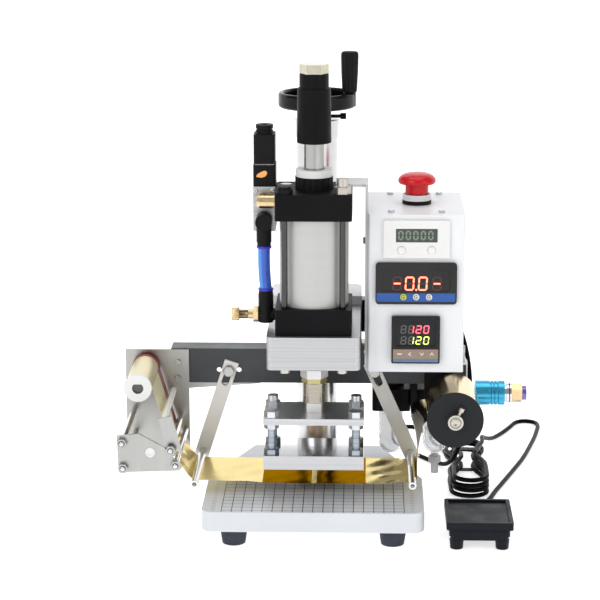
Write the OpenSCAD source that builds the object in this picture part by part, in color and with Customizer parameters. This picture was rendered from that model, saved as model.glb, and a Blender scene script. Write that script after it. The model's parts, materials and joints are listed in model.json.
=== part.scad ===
// Pneumatic hot foil stamping machine with a foot pedal.
// Millimetres, +Z up, front towards -Y, standing on Z = 0.

/* [Base and column] */
// Width of the base plate
base_w = 220; // [200:1:260]
// Depth of the base plate
base_d = 222; // [215:1:260]
// Thickness of the base plate
base_t = 21; // [12:0.5:30]
// Width of the base plate's back edge
base_back_w = 136; // [110:1:160]
// Length of the base plate's parallel sides
base_side_l = 111; // [80:1:140]
// Radius of the base plate's front corners
base_corner_r = 12; // [4:0.5:20]
// Height of the rubber feet
foot_h = 19; // [10:0.5:30]
// Radius of a rubber foot at its top
foot_top_r = 14.5; // [12:0.5:18]
// Radius of a rubber foot at the floor
foot_floor_r = 11.5; // [8:0.5:12]
// Outer radius of the column
column_r = 21; // [19:0.5:22]
// Wall of the column
column_wall = 7; // [4:0.5:8]
// Height of the column above the table
column_h = 355; // [345:1:420]
// Distance from the column's axis to the back edge of the base
column_setback = 27; // [24:1:40]
// Distance from the column's axis to the ram's axis
throat = 124; // [118:1:140]

/* [Height adjustment] */
// Radius of the handwheel
wheel_r = 40; // [32:1:50]
// Height of the handwheel's rim
wheel_rim_h = 15.5; // [10:0.5:20]
// Radius of the handwheel's hub
wheel_hub_r = 13; // [10:0.5:16]
// Radius of the leadscrew
screw_r = 6; // [4:0.5:8]
// Length of the crank grip
grip_l = 41.5; // [30:0.5:60]
// Largest radius of the crank grip
grip_r = 9; // [7:0.5:12]
// How far the head can be lowered from where it stands
lift_down = 3; // [0:0.5:4]
// How far the head can be raised from where it stands
lift_up = 45; // [10:1:60]

/* [Ram and plates] */
// Gap between the table and the heater plate
daylight = 31; // [28:0.5:45]
// Width of the two plates
plate_w = 100; // [90:1:130]
// Depth of the two plates
plate_d = 62; // [56:1:72]
// Thickness of the heater plate
heater_t = 14; // [12:0.5:20]
// Thickness of the upper plate
upper_t = 6.6; // [5:0.2:10]
// Gap between the two plates
plate_gap = 32; // [24:0.5:45]
// Radius of the cartridge heaters
cartridge_r = 5; // [3:0.25:5.5]
// Radius of the piston rod
rod_r = 10; // [9:0.5:11]
// Radius of the coupler
coupler_r = 11.7; // [11:0.1:14]
// Length of the coupler
coupler_h = 30.4; // [24:0.2:40]
// Travel of the ram before the adjuster meets its bumper
stroke = 26; // [10:0.5:26]
// Radius of the stroke adjuster's sleeve
adjuster_r = 16.6; // [14:0.2:18]
// Length of the stroke adjuster's sleeve
adjuster_h = 53.5; // [40:0.5:70]

/* [Air cylinder] */
// Side of the square cylinder caps
cap_w = 75; // [72:1:85]
// Height of a cylinder cap
cap_h = 26; // [24:0.5:34]
// Length of the barrel between the caps
barrel_l = 88; // [80:1:120]
// Inner radius of the barrel
bore_r = 31.5; // [28:0.5:33]
// Wall of the barrel
barrel_wall = 2.5; // [2:0.25:4]
// Distance between tie rods
tie_pitch = 56.5; // [54:0.5:60]
// Radius of a tie rod
tie_r = 3; // [2.5:0.25:3.5]

/* [Head] */
// Width of the head block
head_w = 92; // [88:1:110]
// Height of the head block
head_h = 33; // [26:0.5:40]
// Distance from the ram's axis to the head block's front
head_nose = 44; // [42:0.5:55]
// Width of the column clamp
clamp_w = 94; // [90:1:98]
// Height of the column clamp
clamp_h = 87; // [80:1:92]
// Left end of the cross bar
bar_left = -150; // [-165:1:-145]
// Right end of the cross bar
bar_right = 128; // [124:1:132]
// Height of the cross bar
bar_h = 36.4; // [30:0.2:42]
// Depth of the cross bar
bar_d = 25; // [20:0.5:28]

/* [Control box] */
// Width of the control box
box_w = 95.2; // [90:0.2:105]
// Depth of the control box
box_d = 124; // [118:1:130]
// Height of the control box
box_h = 159.5; // [155:0.5:165]
// Left side of the control box
box_x = 53.2; // [53:0.1:56]
// Thickness of the control box's sheet
box_wall = 1.6; // [1:0.1:2.5]

/* [Foil feed] */
// Width of the foil
foil_w = 77; // [60:1:80]
// Radius of the supply roll
supply_r = 13.5; // [9:0.25:14]
// Radius of the wound foil on the take-up
takeup_r = 26; // [12:0.5:27]
// Radius of the take-up disc
disc_r = 28.3; // [26:0.1:32]
// Radius of a guide rod
guide_r = 4; // [2.5:0.1:4]
// Distance between the unwinder's two plates
unwinder_span = 119; // [100:1:125]

/* [Foot pedal] */
// Width of the treadle
pedal_w = 66; // [58:1:76]
// Depth of the treadle
pedal_d = 74.5; // [66:0.5:76]
// Height of the treadle's top above the floor
pedal_h = 30; // [28:0.5:36]
// Diameter of the pedal's cord
cord_dia = 5; // [4:0.25:5]

/* [Hidden] */
$fn = 64;

// Clearances
running = 0.05;
slip = 0.1;

// Levels, from the floor up
table_z = foot_h + base_t;
heater_z = table_z + daylight;
upper_z = heater_z + heater_t + plate_gap;
coupler_z = upper_z + upper_t;
jam_h = 5;
jam_z = coupler_z + coupler_h;
lock_h = 9;
lock_z = jam_z + jam_h;
rod_z = lock_z + lock_h;
rod_show = 9;
head_z = rod_z + rod_show;
lower_cap_z = head_z + head_h;
barrel_z = lower_cap_z + cap_h;
upper_cap_z = barrel_z + barrel_l;
boss_z = upper_cap_z + cap_h;
boss_h = 12.5;
bumper_z = boss_z + boss_h;
bumper_h = 7;
adjuster_z = bumper_z + bumper_h + stroke;
adjuster_top_z = adjuster_z + adjuster_h;
adjuster_top_h = 14;
cap_nut_z = adjuster_top_z + adjuster_top_h;
cap_nut_h = 9;

// Depths, from the front back
base_front_y = -105;
base_back_y = base_front_y + base_d;
column_y = base_back_y - column_setback;
ram_y = column_y - throat;
plate_y = ram_y - plate_d / 2;
clamp_front = 27;
clamp_y = column_y - clamp_front;
clamp_back = 32;
bar_y = clamp_y - bar_d;
sheet_t = 2.5;
foil_plate_y = bar_y - sheet_t;
foil_end_gap = 5.5;
foil_back_y = foil_plate_y - foil_end_gap;
foil_y = foil_back_y - foil_w;

// Column and leadscrew
column_bore = column_r - column_wall;
column_seat = base_t - 5;
collar_h = 13;
collar_step = 1.2;
cap_disc_r = column_r + 2;
cap_disc_h = 5;
cap_spigot_h = 10;
cap_neck_r = 11;
cap_neck_h = 6;
column_top_z = table_z + column_h;
cap_top_z = column_top_z + cap_disc_h + cap_neck_h;
key_w = 9.8;
key_h = 12;
key_reach = 3;
key_z = head_z - 2;
nut_h = 30;
slot_slack = 1;
screw_tail = 40;

// Handwheel, measured from its own underside
wheel_z = cap_top_z + 0.2;
wheel_hub_h = 18;
wheel_web_z = 8;
wheel_web_h = 4;
wheel_rim_w = 6;
wheel_rim_z = 6.5;
wheel_hole_r = 7;
crank_angle = -10;
crank_boss_r = 6.5;
crank_pin_r = 4;
crank_x = wheel_r - crank_boss_r + 0.5;
crank_z = wheel_rim_z + wheel_rim_h;
grip_roof = 3;
grip_gap = 0.5;
lock_screw_r = 1.8;
lock_screw_z = column_top_z + cap_disc_h + cap_neck_h / 2;
lock_knob_r = 3.2;

// Clamp and cross bar
clamp_z = head_z - 45;
clamp_corner_r = 12;
clamp_split = 3;
clamp_bolt_r = 4;
clamp_bolt_y = column_y + 26.5;
clamp_bolt_inset = 20;
bar_z = clamp_z;
bar_wall = 3;
strut_bolt_z = bar_z + 13.5;
strut_hole_pitch = 20.5;
strut_hole_r = 2.6;
stiffener_end = -58;

// Cylinder caps and their ports
cap_corner_r = 3;
port_r = 6;
port_depth = 10;
mount_bolt_r = 3.5;
mount_head_r = 4.9;
mount_head_h = 6.5;
mount_bolt_in = 12;
tie_nut_af = 11;
tie_nut_h = 4.5;
tie_pocket_r = 7;
tie_pocket_h = 5;
lower_port_z = lower_cap_z + cap_h / 2;
upper_port_z = upper_cap_z + cap_h / 2;
boss_r = 18.6;
boss_grooves = 18;
bumper_r = 18;

// Solenoid valve
valve_gap = 1;
valve_w = 22;
valve_d = 38;
valve_h = 44.5;
valve_x = -cap_w / 2 - valve_gap - valve_w / 2;
valve_y = ram_y + 10;
valve_z = upper_port_z - 32;
valve_port_drop = 20;
valve_low_port_z = upper_port_z - valve_port_drop;
coil_h = 21;
gasket_h = 1.2;
connector_h = 29;
hose_r = 6;
hose_top_z = valve_low_port_z - 25;
flow_x = valve_x + 1.5;
flow_body_r = 7.5;
hose_foot_z = lower_port_z + 25;
needle_r = 3;
needle_hex_x = flow_x - flow_body_r;
needle_hex_af = 14;
needle_hex_l = 5;
needle_bush_l = 5;

// Control box and its devices
box_z = head_z - 12.5;
box_y = ram_y - 1;
box_corner_r = 2.5;
lid_z = box_z + box_h - box_wall;
bracket_t = 3;
box_mid_x = box_x + box_w / 2;
counter_w = 65.2;
counter_h = 37.7;
counter_bezel = 3;
counter_key_r = 4;
counter_key_half = 14.85;
timer_w = 80.3;
timer_h = 42.1;
timer_bezel = 4;
timer_key_r = 3.2;
timer_key_pitch = 12.65;
controller_w = 48;
panel_spare = box_h - counter_h - timer_h - controller_w;
gap_shares = [0.32, 0.38, 0.14];
controller_z = box_z + gap_shares[0] * panel_spare + controller_w / 2;
timer_z = controller_z + controller_w / 2 + gap_shares[1] * panel_spare + timer_h / 2;
counter_z = timer_z + timer_h / 2 + gap_shares[2] * panel_spare + counter_h / 2;
counter_window = [41, 13.6];
timer_window = [66, 21];
controller_window = [39, 25];
counter_key_z = counter_z - 11;
timer_key_z = timer_z - 13.4;
controller_bezel = 6;
device_lip = 3;
device_depth = 30;
key_stand = 1.5;
key_length = 6.5;
key_travel = 1.2;
estop_x = box_mid_x + 1.2;
estop_y = box_y + box_d / 2;
estop_base_r = 14.6;
estop_ring_r = 14.2;
estop_skirt_r = 11.7;
estop_neck_r = 10.8;
estop_stem_r = 7;
estop_spigot_r = 5;
estop_head_r = 19;
estop_z = box_z + box_h;
estop_flange_h = 4;
estop_ring_h = 6;
estop_skirt_h = 10;
estop_travel = 4;
gland_x = box_x + box_w - 13;
gland_z = box_z + 50;
gland_hex_r = 8;
gland_hex_l = 6;
gland_cone_l = 14;
lid_screw_x = 25;
lid_screw_y = 12;

// Foil feed
guide_z = table_z + 18.2;
guide_left_x = -118.3;
guide_right_x = 98.5;
guide_front_y = -75;
guide_bore_l = 9;
strut_w = 15;
strut_t = 3;
strut_left_x = -90;
strut_right_x = 60;
supply_x = -175.4;
supply_z = head_z - 26.7;
supply_shaft_r = 4;
hub_r = 14;
hub_t = 5;
unwinder_left = -197;
unwinder_right = -131.4;
unwinder_top = head_z - 9.4;
unwinder_foot = table_z + 12;
front_plate_y = foil_plate_y - unwinder_span - sheet_t;
roller_r = 3;
reel_x = 140.7;
reel_z = head_z - 57;
reel_shaft_r = 4;
reel_bracket_x = 112;
reel_bracket_half = 21;
reel_bracket_flat = 8;
reel_bracket_up = 18;
reel_bracket_down = 14;
disc_t = 3;
collar_r = 7.7;
collar_l = 9;
motor_r = 16;
motor_l = 20;
foil_t = 0.3;
foil_gap = 0.45;
foil_z = guide_z - guide_r - foil_gap - foil_t / 2;

// Air unit
air_y = 80;
air_z = head_z - 82.4;
air_w = 40;
air_d = 34;
air_h = 24;
air_left_x = 78.5;
air_pitch = 46.7;
bowl_r = 13;
bowl_wall = 2;
bowl_floor_z = table_z + 4.4;
drain_r = 4;
drain_l = 22;
drain_gap = 0.5;
knob_post_r = 6;
knob_r = 14;
knob_h = 28;
slide_z = air_z + air_h / 2 + 4.4;
nipple_r = 6;
slide_core_r = 9;
slide_core_x = 152;
sleeve_x = 167;
sleeve_r = 13;
sleeve_l = 30.7;
sleeve_stop_x = 199.5;
stop_ring_r = 10.5;
stop_ring_l = 5.5;
inlet_hex_w = 18;
inlet_hex_l = 11;
inlet_nose_x = sleeve_stop_x + stop_ring_l + inlet_hex_l;
inlet_nose_r = 7.5;
inlet_end = 220.7;
inlet_r = 5.1;
inlet_bore_l = 14;

// Pedal
pedal_x = 164.6;
pedal_front_y = -103;
pedal_panel_t = 3;
pedal_rim = 4;
pedal_rim_h = 2;
pedal_lip_t = 2;
pedal_lip_h = 3;
pedal_gap = 1;
pedal_top_z = pedal_h - pedal_rim_h - pedal_panel_t;
pad_h = 10;
pad_r = 7.2;
pad_inset = 7.5;
pedal_body_top = pedal_top_z - 4.5;
pedal_body_w = pedal_w - 2 * (pedal_lip_t + pedal_gap);
pedal_body_d = pedal_d - pedal_lip_t - pedal_gap - 3.5;
pedal_body_y = pedal_front_y + pedal_lip_t + pedal_gap + 0.5;
pedal_pin_r = 1.5;
pedal_pin_y = pedal_front_y + 35;
pedal_pin_z = pedal_body_top - 4.5;
lug_t = 4;
lug_w = 8;
lug_x = pedal_body_w / 2 - 8;
pedal_gland_z = 15;
pedal_gland_end = -14.5;

// Cord: points chosen by hand, from the control box to the hank, and from the hank to the pedal
cord_r = cord_dia / 2;
lay_z = cord_r + 0.1;
gland_end_y = box_y + box_d + gland_hex_l + gland_cone_l;
lead_route = [
    [gland_x, gland_end_y + 0.3, gland_z], [gland_x, gland_end_y + 6, gland_z],
    [136, 122, 213], [138.5, 128.5, 208],
    [143, 132.5, 198], [148, 133, 184], [153.4, 131, 166], [159, 129, 146], [163, 128.5, 122], [164, 130, 95],
    [160, 132, 64], [154.5, 137, 38], [148.5, 145, 19], [141, 157, 7.5], [131, 173, 3.3], [118, 192, 2.7],
    [104, 214, lay_z], [91, 242, lay_z], [84.5, 272, lay_z], [86, 296, lay_z], [91.2, 308.3, lay_z],
    [102.5, 313, lay_z], [113.8, 308.3, lay_z], [119, 296, lay_z], [123.5, 276, lay_z], [129, 250, lay_z],
    [135.5, 231, 2.9], [140.5, 218, 3.5], [141.8, 206, 3.9]
];
hank_x = 163;
hank_front_y = 76;
hank_back_y = 206;
hank_waist_y = 158;
hank_waist_half = 46;
hank_pull = 10;
hank_half = 15;
hank_step = 6.2;
hank_layer = 5.6;
hank_loops = 3.75;
hank_rings = 32;
hank_lift = 1.4;
loop_route = [
    [182.65, 206, 20.7], [182.65, 213, 20.6], [184, 226, 17.5], [189, 242, 11],
    [197, 261, 5.2], [206, 281, 3],
    [214, 298, lay_z], [221, 314, lay_z], [226.5, 328, lay_z], [232, 336, lay_z], [240.5, 339, lay_z],
    [249, 336, lay_z], [253.5, 328, lay_z], [254, 316, lay_z], [251.5, 300, lay_z], [247.5, 278, lay_z],
    [241, 248, lay_z], [228, 195, lay_z], [212, 144, lay_z], [199, 104, lay_z], [190.5, 78, lay_z],
    [183.5, 54, lay_z], [175.5, 34, 3.2], [168, 17.5, 6.4], [164.8, 4, 11.4], [164.6, -6, 14.6],
    [164.6, pedal_gland_end + 0.3, pedal_gland_z]
];
tie_w = 10;
tie_t = 0.8;

// The row's origin is the middle of the machine's box, on the floor
origin_x = (unwinder_left + inlet_end) / 2;
origin_y = (base_front_y + column_y + wheel_r) / 2;

module placed() translate([-origin_x, -origin_y, 0]) children();

// Turns +Z to +X
module along_x() rotate([0, 90, 0]) children();

// Turns +Z to +Y
module along_y() rotate([-90, 0, 0]) children();

// A flat outline in X and Z, made t thick from y towards the back
module upright(y, t) translate([0, y + t, 0]) rotate([90, 0, 0]) linear_extrude(t) children();

module rounded_rect(w, d, r) {
    square([w - 2 * r, d], center = true);
    square([w, d - 2 * r], center = true);
    for (x = [-1, 1], y = [-1, 1])
        translate([x * (w / 2 - r), y * (d / 2 - r)]) circle(r);
}

// Slot with round ends from 0 to l
module slot_outline(l, r) {
    translate([0, -r]) square([l, 2 * r]);
    circle(r);
    translate([l, 0]) circle(r);
}

module hex(af, h) cylinder(r = af / sqrt(3), h = h, $fn = 6);

module tube(r, bore, h) difference() {
    cylinder(r = r, h = h);
    translate([0, 0, -1]) cylinder(r = bore, h = h + 2);
}

// Positions of the four tie rods
module at_tie_rods()
    for (x = [-1, 1], y = [-1, 1])
        translate([x * tie_pitch / 2, ram_y + y * tie_pitch / 2, 0]) children();

function unit(v) = v / norm(v);
function catmull(a, b, c, d, t) =
    0.5 * (2 * b + (c - a) * t + (2 * a - 5 * b + 4 * c - d) * t * t + (3 * b - a - 3 * c + d) * t * t * t);
function smooth(p, n) = concat(
    [for (i = [0:len(p) - 2]) for (k = [0:n - 1])
        catmull(p[max(i - 1, 0)], p[i], p[i + 1], p[min(i + 2, len(p) - 1)], k / n)],
    [p[len(p) - 1]]);
function tangents(p) = [for (i = [0:len(p) - 1]) unit(p[min(i + 1, len(p) - 1)] - p[max(i - 1, 0)])];
function carried(t, i, n) = i >= len(t) ? [] :
    let (m = unit(n - t[i] * (n * t[i]))) concat([m], carried(t, i + 1, m));

// One closed tube of n sides along the points p
module swept_tube(p, r, n) {
    t = tangents(p);
    side = carried(t, 0, abs(t[0].x) < 0.9 ? [1, 0, 0] : [0, 0, 1]);
    rings = [for (i = [0:len(p) - 1]) for (j = [0:n - 1])
        p[i] + r * (cos(360 * j / n) * side[i] + sin(360 * j / n) * cross(t[i], side[i]))];
    last = (len(p) - 1) * n;
    walls = [for (i = [0:len(p) - 2]) for (j = [0:n - 1])
        let (k = (j + 1) % n)
        each [[i * n + j, i * n + n + j, i * n + n + k], [i * n + j, i * n + n + k, i * n + k]]];
    ends = [for (j = [1:n - 2]) each [[0, j, j + 1], [last, last + j + 1, last + j]]];
    polyhedron(points = rings, faces = concat(walls, ends), convexity = 8);
}

// Hank: long loops, one to a layer, that step in and out by turns and are drawn in at the tie
function waist(y) =
    abs(y - hank_waist_y) < hank_waist_half ? pow(cos(90 * (y - hank_waist_y) / hank_waist_half), 2) : 0;
function hank_point(s) =
    let (turn = floor(s), f = s - turn,
        spread = turn % 2 == 0 ? 1 - f : f,
        half = hank_half + hank_step * spread,
        layer = turn == 0 ? 0 : turn - 1 + min(f / 0.25, 1),
        run = f < 0.25 ? 4 * f : f < 0.5 ? 1 : f < 0.75 ? 3 - 4 * f : 0,
        y = hank_back_y + (hank_front_y - hank_back_y) * run,
        pulled = half - hank_pull * waist(y),
        a = f < 0.5 ? 720 * (f - 0.25) : 720 * (f - 0.75),
        x = f < 0.25 ? -pulled : f < 0.5 ? -half * cos(a) : f < 0.75 ? pulled : half * cos(a),
        bow = f < 0.25 ? 0 : f < 0.5 ? -half * sin(a) : f < 0.75 ? 0 : half * sin(a))
    [hank_x + x, y + bow, cord_r + hank_lift + layer * hank_layer];
hank_route = [for (i = [0:hank_loops * hank_rings]) hank_point(i / hank_rings)];
hank_spacing = min([for (i = [0:len(hank_route) - 1]) for (k = [i + hank_rings / 2:1:len(hank_route) - 1])
    norm(hank_route[i] - hank_route[k])]);
echo(hank_gap_to_itself = hank_spacing - cord_dia);

module base_outline() {
    half = base_w / 2;
    r = base_corner_r;
    polygon([
        [r - half, base_front_y], [half - r, base_front_y], [half, base_front_y + r],
        [half, base_front_y + base_side_l], [base_back_w / 2, base_back_y], [-base_back_w / 2, base_back_y],
        [-half, base_front_y + base_side_l], [-half, base_front_y + r]
    ]);
    for (x = [r - half, half - r]) translate([x, base_front_y + r]) circle(r);
}

module base_plate() color("gainsboro") difference() {
    translate([0, 0, foot_h]) linear_extrude(base_t) base_outline();
    translate([0, column_y, table_z - column_seat]) cylinder(r = column_r + running, h = column_seat + 1);
}

module rubber_feet() color("dimgray") {
    front_inset = [31, 25];
    back_inset = [10, 29];
    for (x = [-1, 1]) {
        translate([x * (base_w / 2 - front_inset.x), base_front_y + front_inset.y, 0])
            cylinder(r1 = foot_floor_r, r2 = foot_top_r, h = foot_h);
        translate([x * (base_back_w / 2 - back_inset.x), base_back_y - back_inset.y, 0])
            cylinder(r1 = foot_floor_r, r2 = foot_top_r, h = foot_h);
        for (y = [pad_inset + 1, pedal_body_d - pad_inset - 1])
            translate([pedal_x + x * (pedal_body_w / 2 - pad_inset), pedal_body_y + y, 0])
                cylinder(r1 = pad_r - 0.8, r2 = pad_r, h = pad_h);
    }
}

module column() color("silver") translate([0, column_y, table_z]) {
    key_low = key_z - table_z - lift_down - slot_slack;
    slot_l = key_h + lift_down + lift_up + 2 * slot_slack;
    difference() {
        union() {
            translate([0, 0, -column_seat]) cylinder(r = column_r, h = column_seat + column_h);
            translate([0, 0, column_h - collar_h]) cylinder(r = column_r + collar_step, h = collar_h);
        }
        translate([0, 0, -column_seat - 1]) cylinder(r = column_bore, h = column_seat + column_h + 2);
        translate([-key_w / 2 - slip, -column_r - 1, key_low]) cube([key_w + 2 * slip, column_r, slot_l]);
    }
    difference() {
        union() {
            translate([0, 0, column_h - cap_spigot_h]) cylinder(r = column_bore, h = cap_spigot_h);
            translate([0, 0, column_h]) cylinder(r = cap_disc_r, h = cap_disc_h);
            translate([0, 0, column_h + cap_disc_h]) cylinder(r = cap_neck_r, h = cap_neck_h);
        }
        translate([0, 0, column_h - cap_spigot_h - 1])
            cylinder(r = screw_r + running, h = cap_spigot_h + cap_disc_h + cap_neck_h + 2);
        translate([0, 0, lock_screw_z - table_z]) along_x()
            cylinder(r = lock_screw_r + running, h = cap_neck_r + 1);
    }
}

module leadscrew() color("silver") translate([0, column_y, 0]) {
    low = key_z - screw_tail;
    translate([0, 0, low]) cylinder(r = screw_r, h = wheel_z + wheel_hub_h - low);
    translate([0, 0, column_top_z - cap_spigot_h - 5.2]) tube(column_bore - 3, screw_r, 5);
}

module handwheel() color("#222222") translate([0, column_y, wheel_z]) {
    rim_mid = wheel_r - wheel_rim_w / 2;
    difference() {
        union() {
            cylinder(r = wheel_hub_r, h = wheel_hub_h);
            translate([0, 0, wheel_web_z]) cylinder(r = rim_mid, h = wheel_web_h);
            rotate_extrude() {
                translate([rim_mid, wheel_rim_z + wheel_rim_h / 2])
                    square([wheel_rim_w, wheel_rim_h - wheel_rim_w], center = true);
                for (z = [wheel_rim_w / 2, wheel_rim_h - wheel_rim_w / 2])
                    translate([rim_mid, wheel_rim_z + z]) circle(wheel_rim_w / 2);
            }
            rotate([0, 0, crank_angle]) translate([crank_x, 0, wheel_web_z])
                cylinder(r = crank_boss_r, h = crank_z - wheel_web_z);
            rotate([0, 0, crank_angle]) translate([crank_x, 0, wheel_web_z])
                cylinder(r = crank_pin_r, h = crank_z - wheel_web_z + grip_l - grip_roof - grip_gap);
        }
        translate([0, 0, -1]) cylinder(r = screw_r, h = wheel_hub_h + 2);
        for (a = [50, 170, 290]) rotate([0, 0, a])
            translate([(wheel_hub_r + rim_mid - wheel_rim_w / 2) / 2, 0, wheel_web_z - 1])
                cylinder(r = wheel_hole_r, h = wheel_web_h + 2);
    }
}

module crank_grip() color("#1c1c1c")
    translate([0, column_y, wheel_z + crank_z + grip_gap]) rotate([0, 0, crank_angle])
        translate([crank_x, 0, 0]) rotate_extrude() polygon([
            [crank_pin_r + running, 0], [grip_r - 1.8, 0], [grip_r - 1.4, 2], [grip_r - 0.4, grip_l * 0.5],
            [grip_r, grip_l - 4], [grip_r - 0.6, grip_l - 1], [grip_r - 1.6, grip_l], [0, grip_l],
            [0, grip_l - grip_roof], [crank_pin_r + running, grip_l - grip_roof]
        ]);

module lock_screw() color("#222222") translate([screw_r + 1, column_y, lock_screw_z]) along_x() {
    reach = cap_disc_r - screw_r;
    cylinder(r = lock_screw_r, h = reach + 1);
    translate([0, 0, reach]) cylinder(r = lock_knob_r, h = 6);
}

module head_block() color("lightgray") difference() {
    r = 6;
    depth = clamp_y - ram_y + head_nose;
    translate([0, 0, head_z]) linear_extrude(head_h) union() {
        translate([-head_w / 2, ram_y - head_nose + r]) square([head_w, depth - r]);
        translate([r - head_w / 2, ram_y - head_nose]) square([head_w - 2 * r, depth]);
        for (x = [r - head_w / 2, head_w / 2 - r]) translate([x, ram_y - head_nose + r]) circle(r);
    }
    translate([0, ram_y, head_z - 1]) cylinder(r = rod_r + 0.5, h = head_h + 2);
    at_tie_rods() translate([0, 0, head_z - 1]) cylinder(r = mount_bolt_r + slip, h = head_h + 2);
}

module column_clamp() color("whitesmoke") difference() {
    r = clamp_corner_r;
    back = column_y + clamp_back;
    translate([0, 0, clamp_z]) linear_extrude(clamp_h) union() {
        translate([-clamp_w / 2, clamp_y]) square([clamp_w, back - r - clamp_y]);
        translate([r - clamp_w / 2, clamp_y]) square([clamp_w - 2 * r, back - clamp_y]);
        for (x = [r - clamp_w / 2, clamp_w / 2 - r]) translate([x, back - r]) circle(r);
    }
    translate([0, column_y, clamp_z - 1]) cylinder(r = column_r + running, h = clamp_h + 2);
    translate([-clamp_split / 2, column_y, clamp_z - 1]) cube([clamp_split, clamp_back + 1, clamp_h + 2]);
    translate([-key_w / 2, column_y - column_r - key_reach, key_z]) cube([key_w, key_reach + 2, key_h]);
    for (z = [clamp_bolt_inset, clamp_h - clamp_bolt_inset])
        translate([-clamp_w / 2 - 1, clamp_bolt_y, clamp_z + z]) along_x()
            cylinder(r = clamp_bolt_r + slip, h = clamp_w + 2);
}

module lift_nut() color("#b08d3c") translate([0, column_y, 0]) difference() {
    union() {
        translate([0, 0, key_z + key_h / 2 - nut_h / 2]) cylinder(r = column_bore - running, h = nut_h);
        translate([-key_w / 2, -column_r - key_reach, key_z]) cube([key_w, column_r + key_reach, key_h]);
    }
    translate([0, 0, key_z - nut_h]) cylinder(r = screw_r + running, h = 2 * nut_h + key_h);
}

module cylinder_cap(z, port_z) difference() {
    translate([0, ram_y, z]) linear_extrude(cap_h) rounded_rect(cap_w, cap_w, cap_corner_r);
    translate([0, ram_y, z - 1]) cylinder(r = rod_r + running, h = cap_h + 2);
    translate([-cap_w / 2 - 1, ram_y, port_z]) along_x() cylinder(r = port_r + running, h = port_depth + 1);
    at_tie_rods() translate([0, 0, z - 1]) cylinder(r = tie_r + running, h = cap_h + 2);
}

module cylinder_caps() color("silver") {
    difference() {
        cylinder_cap(lower_cap_z, lower_port_z);
        at_tie_rods() translate([0, 0, lower_cap_z - 1])
            cylinder(r = mount_bolt_r + running, h = mount_bolt_in + 1);
    }
    difference() {
        cylinder_cap(upper_cap_z, upper_port_z);
        at_tie_rods() translate([0, 0, boss_z - tie_pocket_h])
            cylinder(r = tie_pocket_r, h = tie_pocket_h + 1);
    }
}

module barrel() color("whitesmoke")
    translate([0, ram_y, barrel_z]) tube(bore_r + running + barrel_wall, bore_r + running, barrel_l);

// Pan-head screw whose head stands on the face z = 0
module pan_screw(r, h, shank_r, shank_l) {
    cylinder(r = r, h = h);
    translate([0, 0, -shank_l]) cylinder(r = shank_r, h = shank_l + h / 2);
}

module strut_bolt(x) translate([x, bar_y - strut_t, strut_bolt_z]) {
    along_y() translate([0, 0, -1]) cylinder(r = 6.5, h = 1);
    along_y() translate([0, 0, -5]) hex(10, 4);
    along_y() translate([0, 0, -2]) cylinder(r = 3, h = strut_t + 8);
}

module head_fasteners() color("silver") {
    at_tie_rods() {
        translate([0, 0, head_z - mount_head_h]) cylinder(r = mount_head_r, h = mount_head_h);
        translate([0, 0, head_z - 1]) cylinder(r = mount_bolt_r, h = head_h + mount_bolt_in);
        translate([0, 0, lower_cap_z + mount_bolt_in + 1])
            cylinder(r = tie_r, h = boss_z - tie_pocket_h - lower_cap_z - mount_bolt_in);
        translate([0, 0, boss_z - tie_pocket_h]) hex(tie_nut_af, tie_nut_h);
    }
    translate([tie_pitch / 2, ram_y - tie_pitch / 2, boss_z]) {
        hex(15, 7);
        translate([0, 0, 7]) cylinder(r = 5.5, h = 8);
    }
    for (z = [clamp_bolt_inset, clamp_h - clamp_bolt_inset])
        translate([0, clamp_bolt_y, clamp_z + z]) along_x() {
            translate([0, 0, -clamp_w / 2 - 6]) cylinder(r = clamp_bolt_r, h = clamp_w + 8);
            translate([0, 0, -clamp_w / 2 - 6]) hex(13, 6);
            translate([0, 0, clamp_w / 2]) hex(13, 6);
        }
    for (x = [-lid_screw_x, lid_screw_x], y = [lid_screw_y + 3, box_d - lid_screw_y])
        translate([box_mid_x + x, box_y + y, box_z + box_h]) pan_screw(3.4, 2.2, 1.5, 5);
    strut_bolt(strut_left_x);
    strut_bolt(strut_right_x);
    for (z = [-14, -31.2])
        translate([-143, foil_plate_y, unwinder_top + z]) along_y() mirror([0, 0, 1])
            cylinder(r = 3.6, h = 2.2);
    for (p = roller_places)
        translate([p.x, front_plate_y, p.y]) along_y() mirror([0, 0, 1]) hex(9, 5);
}

module adjuster_boss() {
    color("#222222") translate([0, ram_y, boss_z]) difference() {
        cylinder(r = boss_r, h = boss_h);
        translate([0, 0, -1]) cylinder(r = rod_r + running, h = boss_h + 2);
        for (i = [0:boss_grooves - 1]) rotate([0, 0, 360 * i / boss_grooves])
            translate([boss_r + 0.4, 0, 1.5]) cylinder(r = 1.3, h = boss_h);
    }
    color("white") translate([0, ram_y, bumper_z]) tube(bumper_r, rod_r + 0.6, bumper_h);
}

module valve_body() color("silver") difference() {
    translate([valve_x - valve_w / 2, valve_y, valve_z]) cube([valve_w, valve_d, valve_h]);
    for (z = [upper_port_z, valve_low_port_z])
        translate([valve_x, valve_y - 1, z]) along_y() cylinder(r = port_r + running, h = port_depth + 1);
    for (x = [-1, 1]) translate([valve_x + x * (valve_w / 2 - 2.6), valve_y - 1, valve_z + valve_h - 4])
        along_y() cylinder(r = 1.4, h = 5);
    translate([valve_x - valve_w / 2 - 1, valve_y - 1, valve_z + valve_h - 9]) cube([valve_w + 2, 1.8, 0.8]);
}

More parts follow.
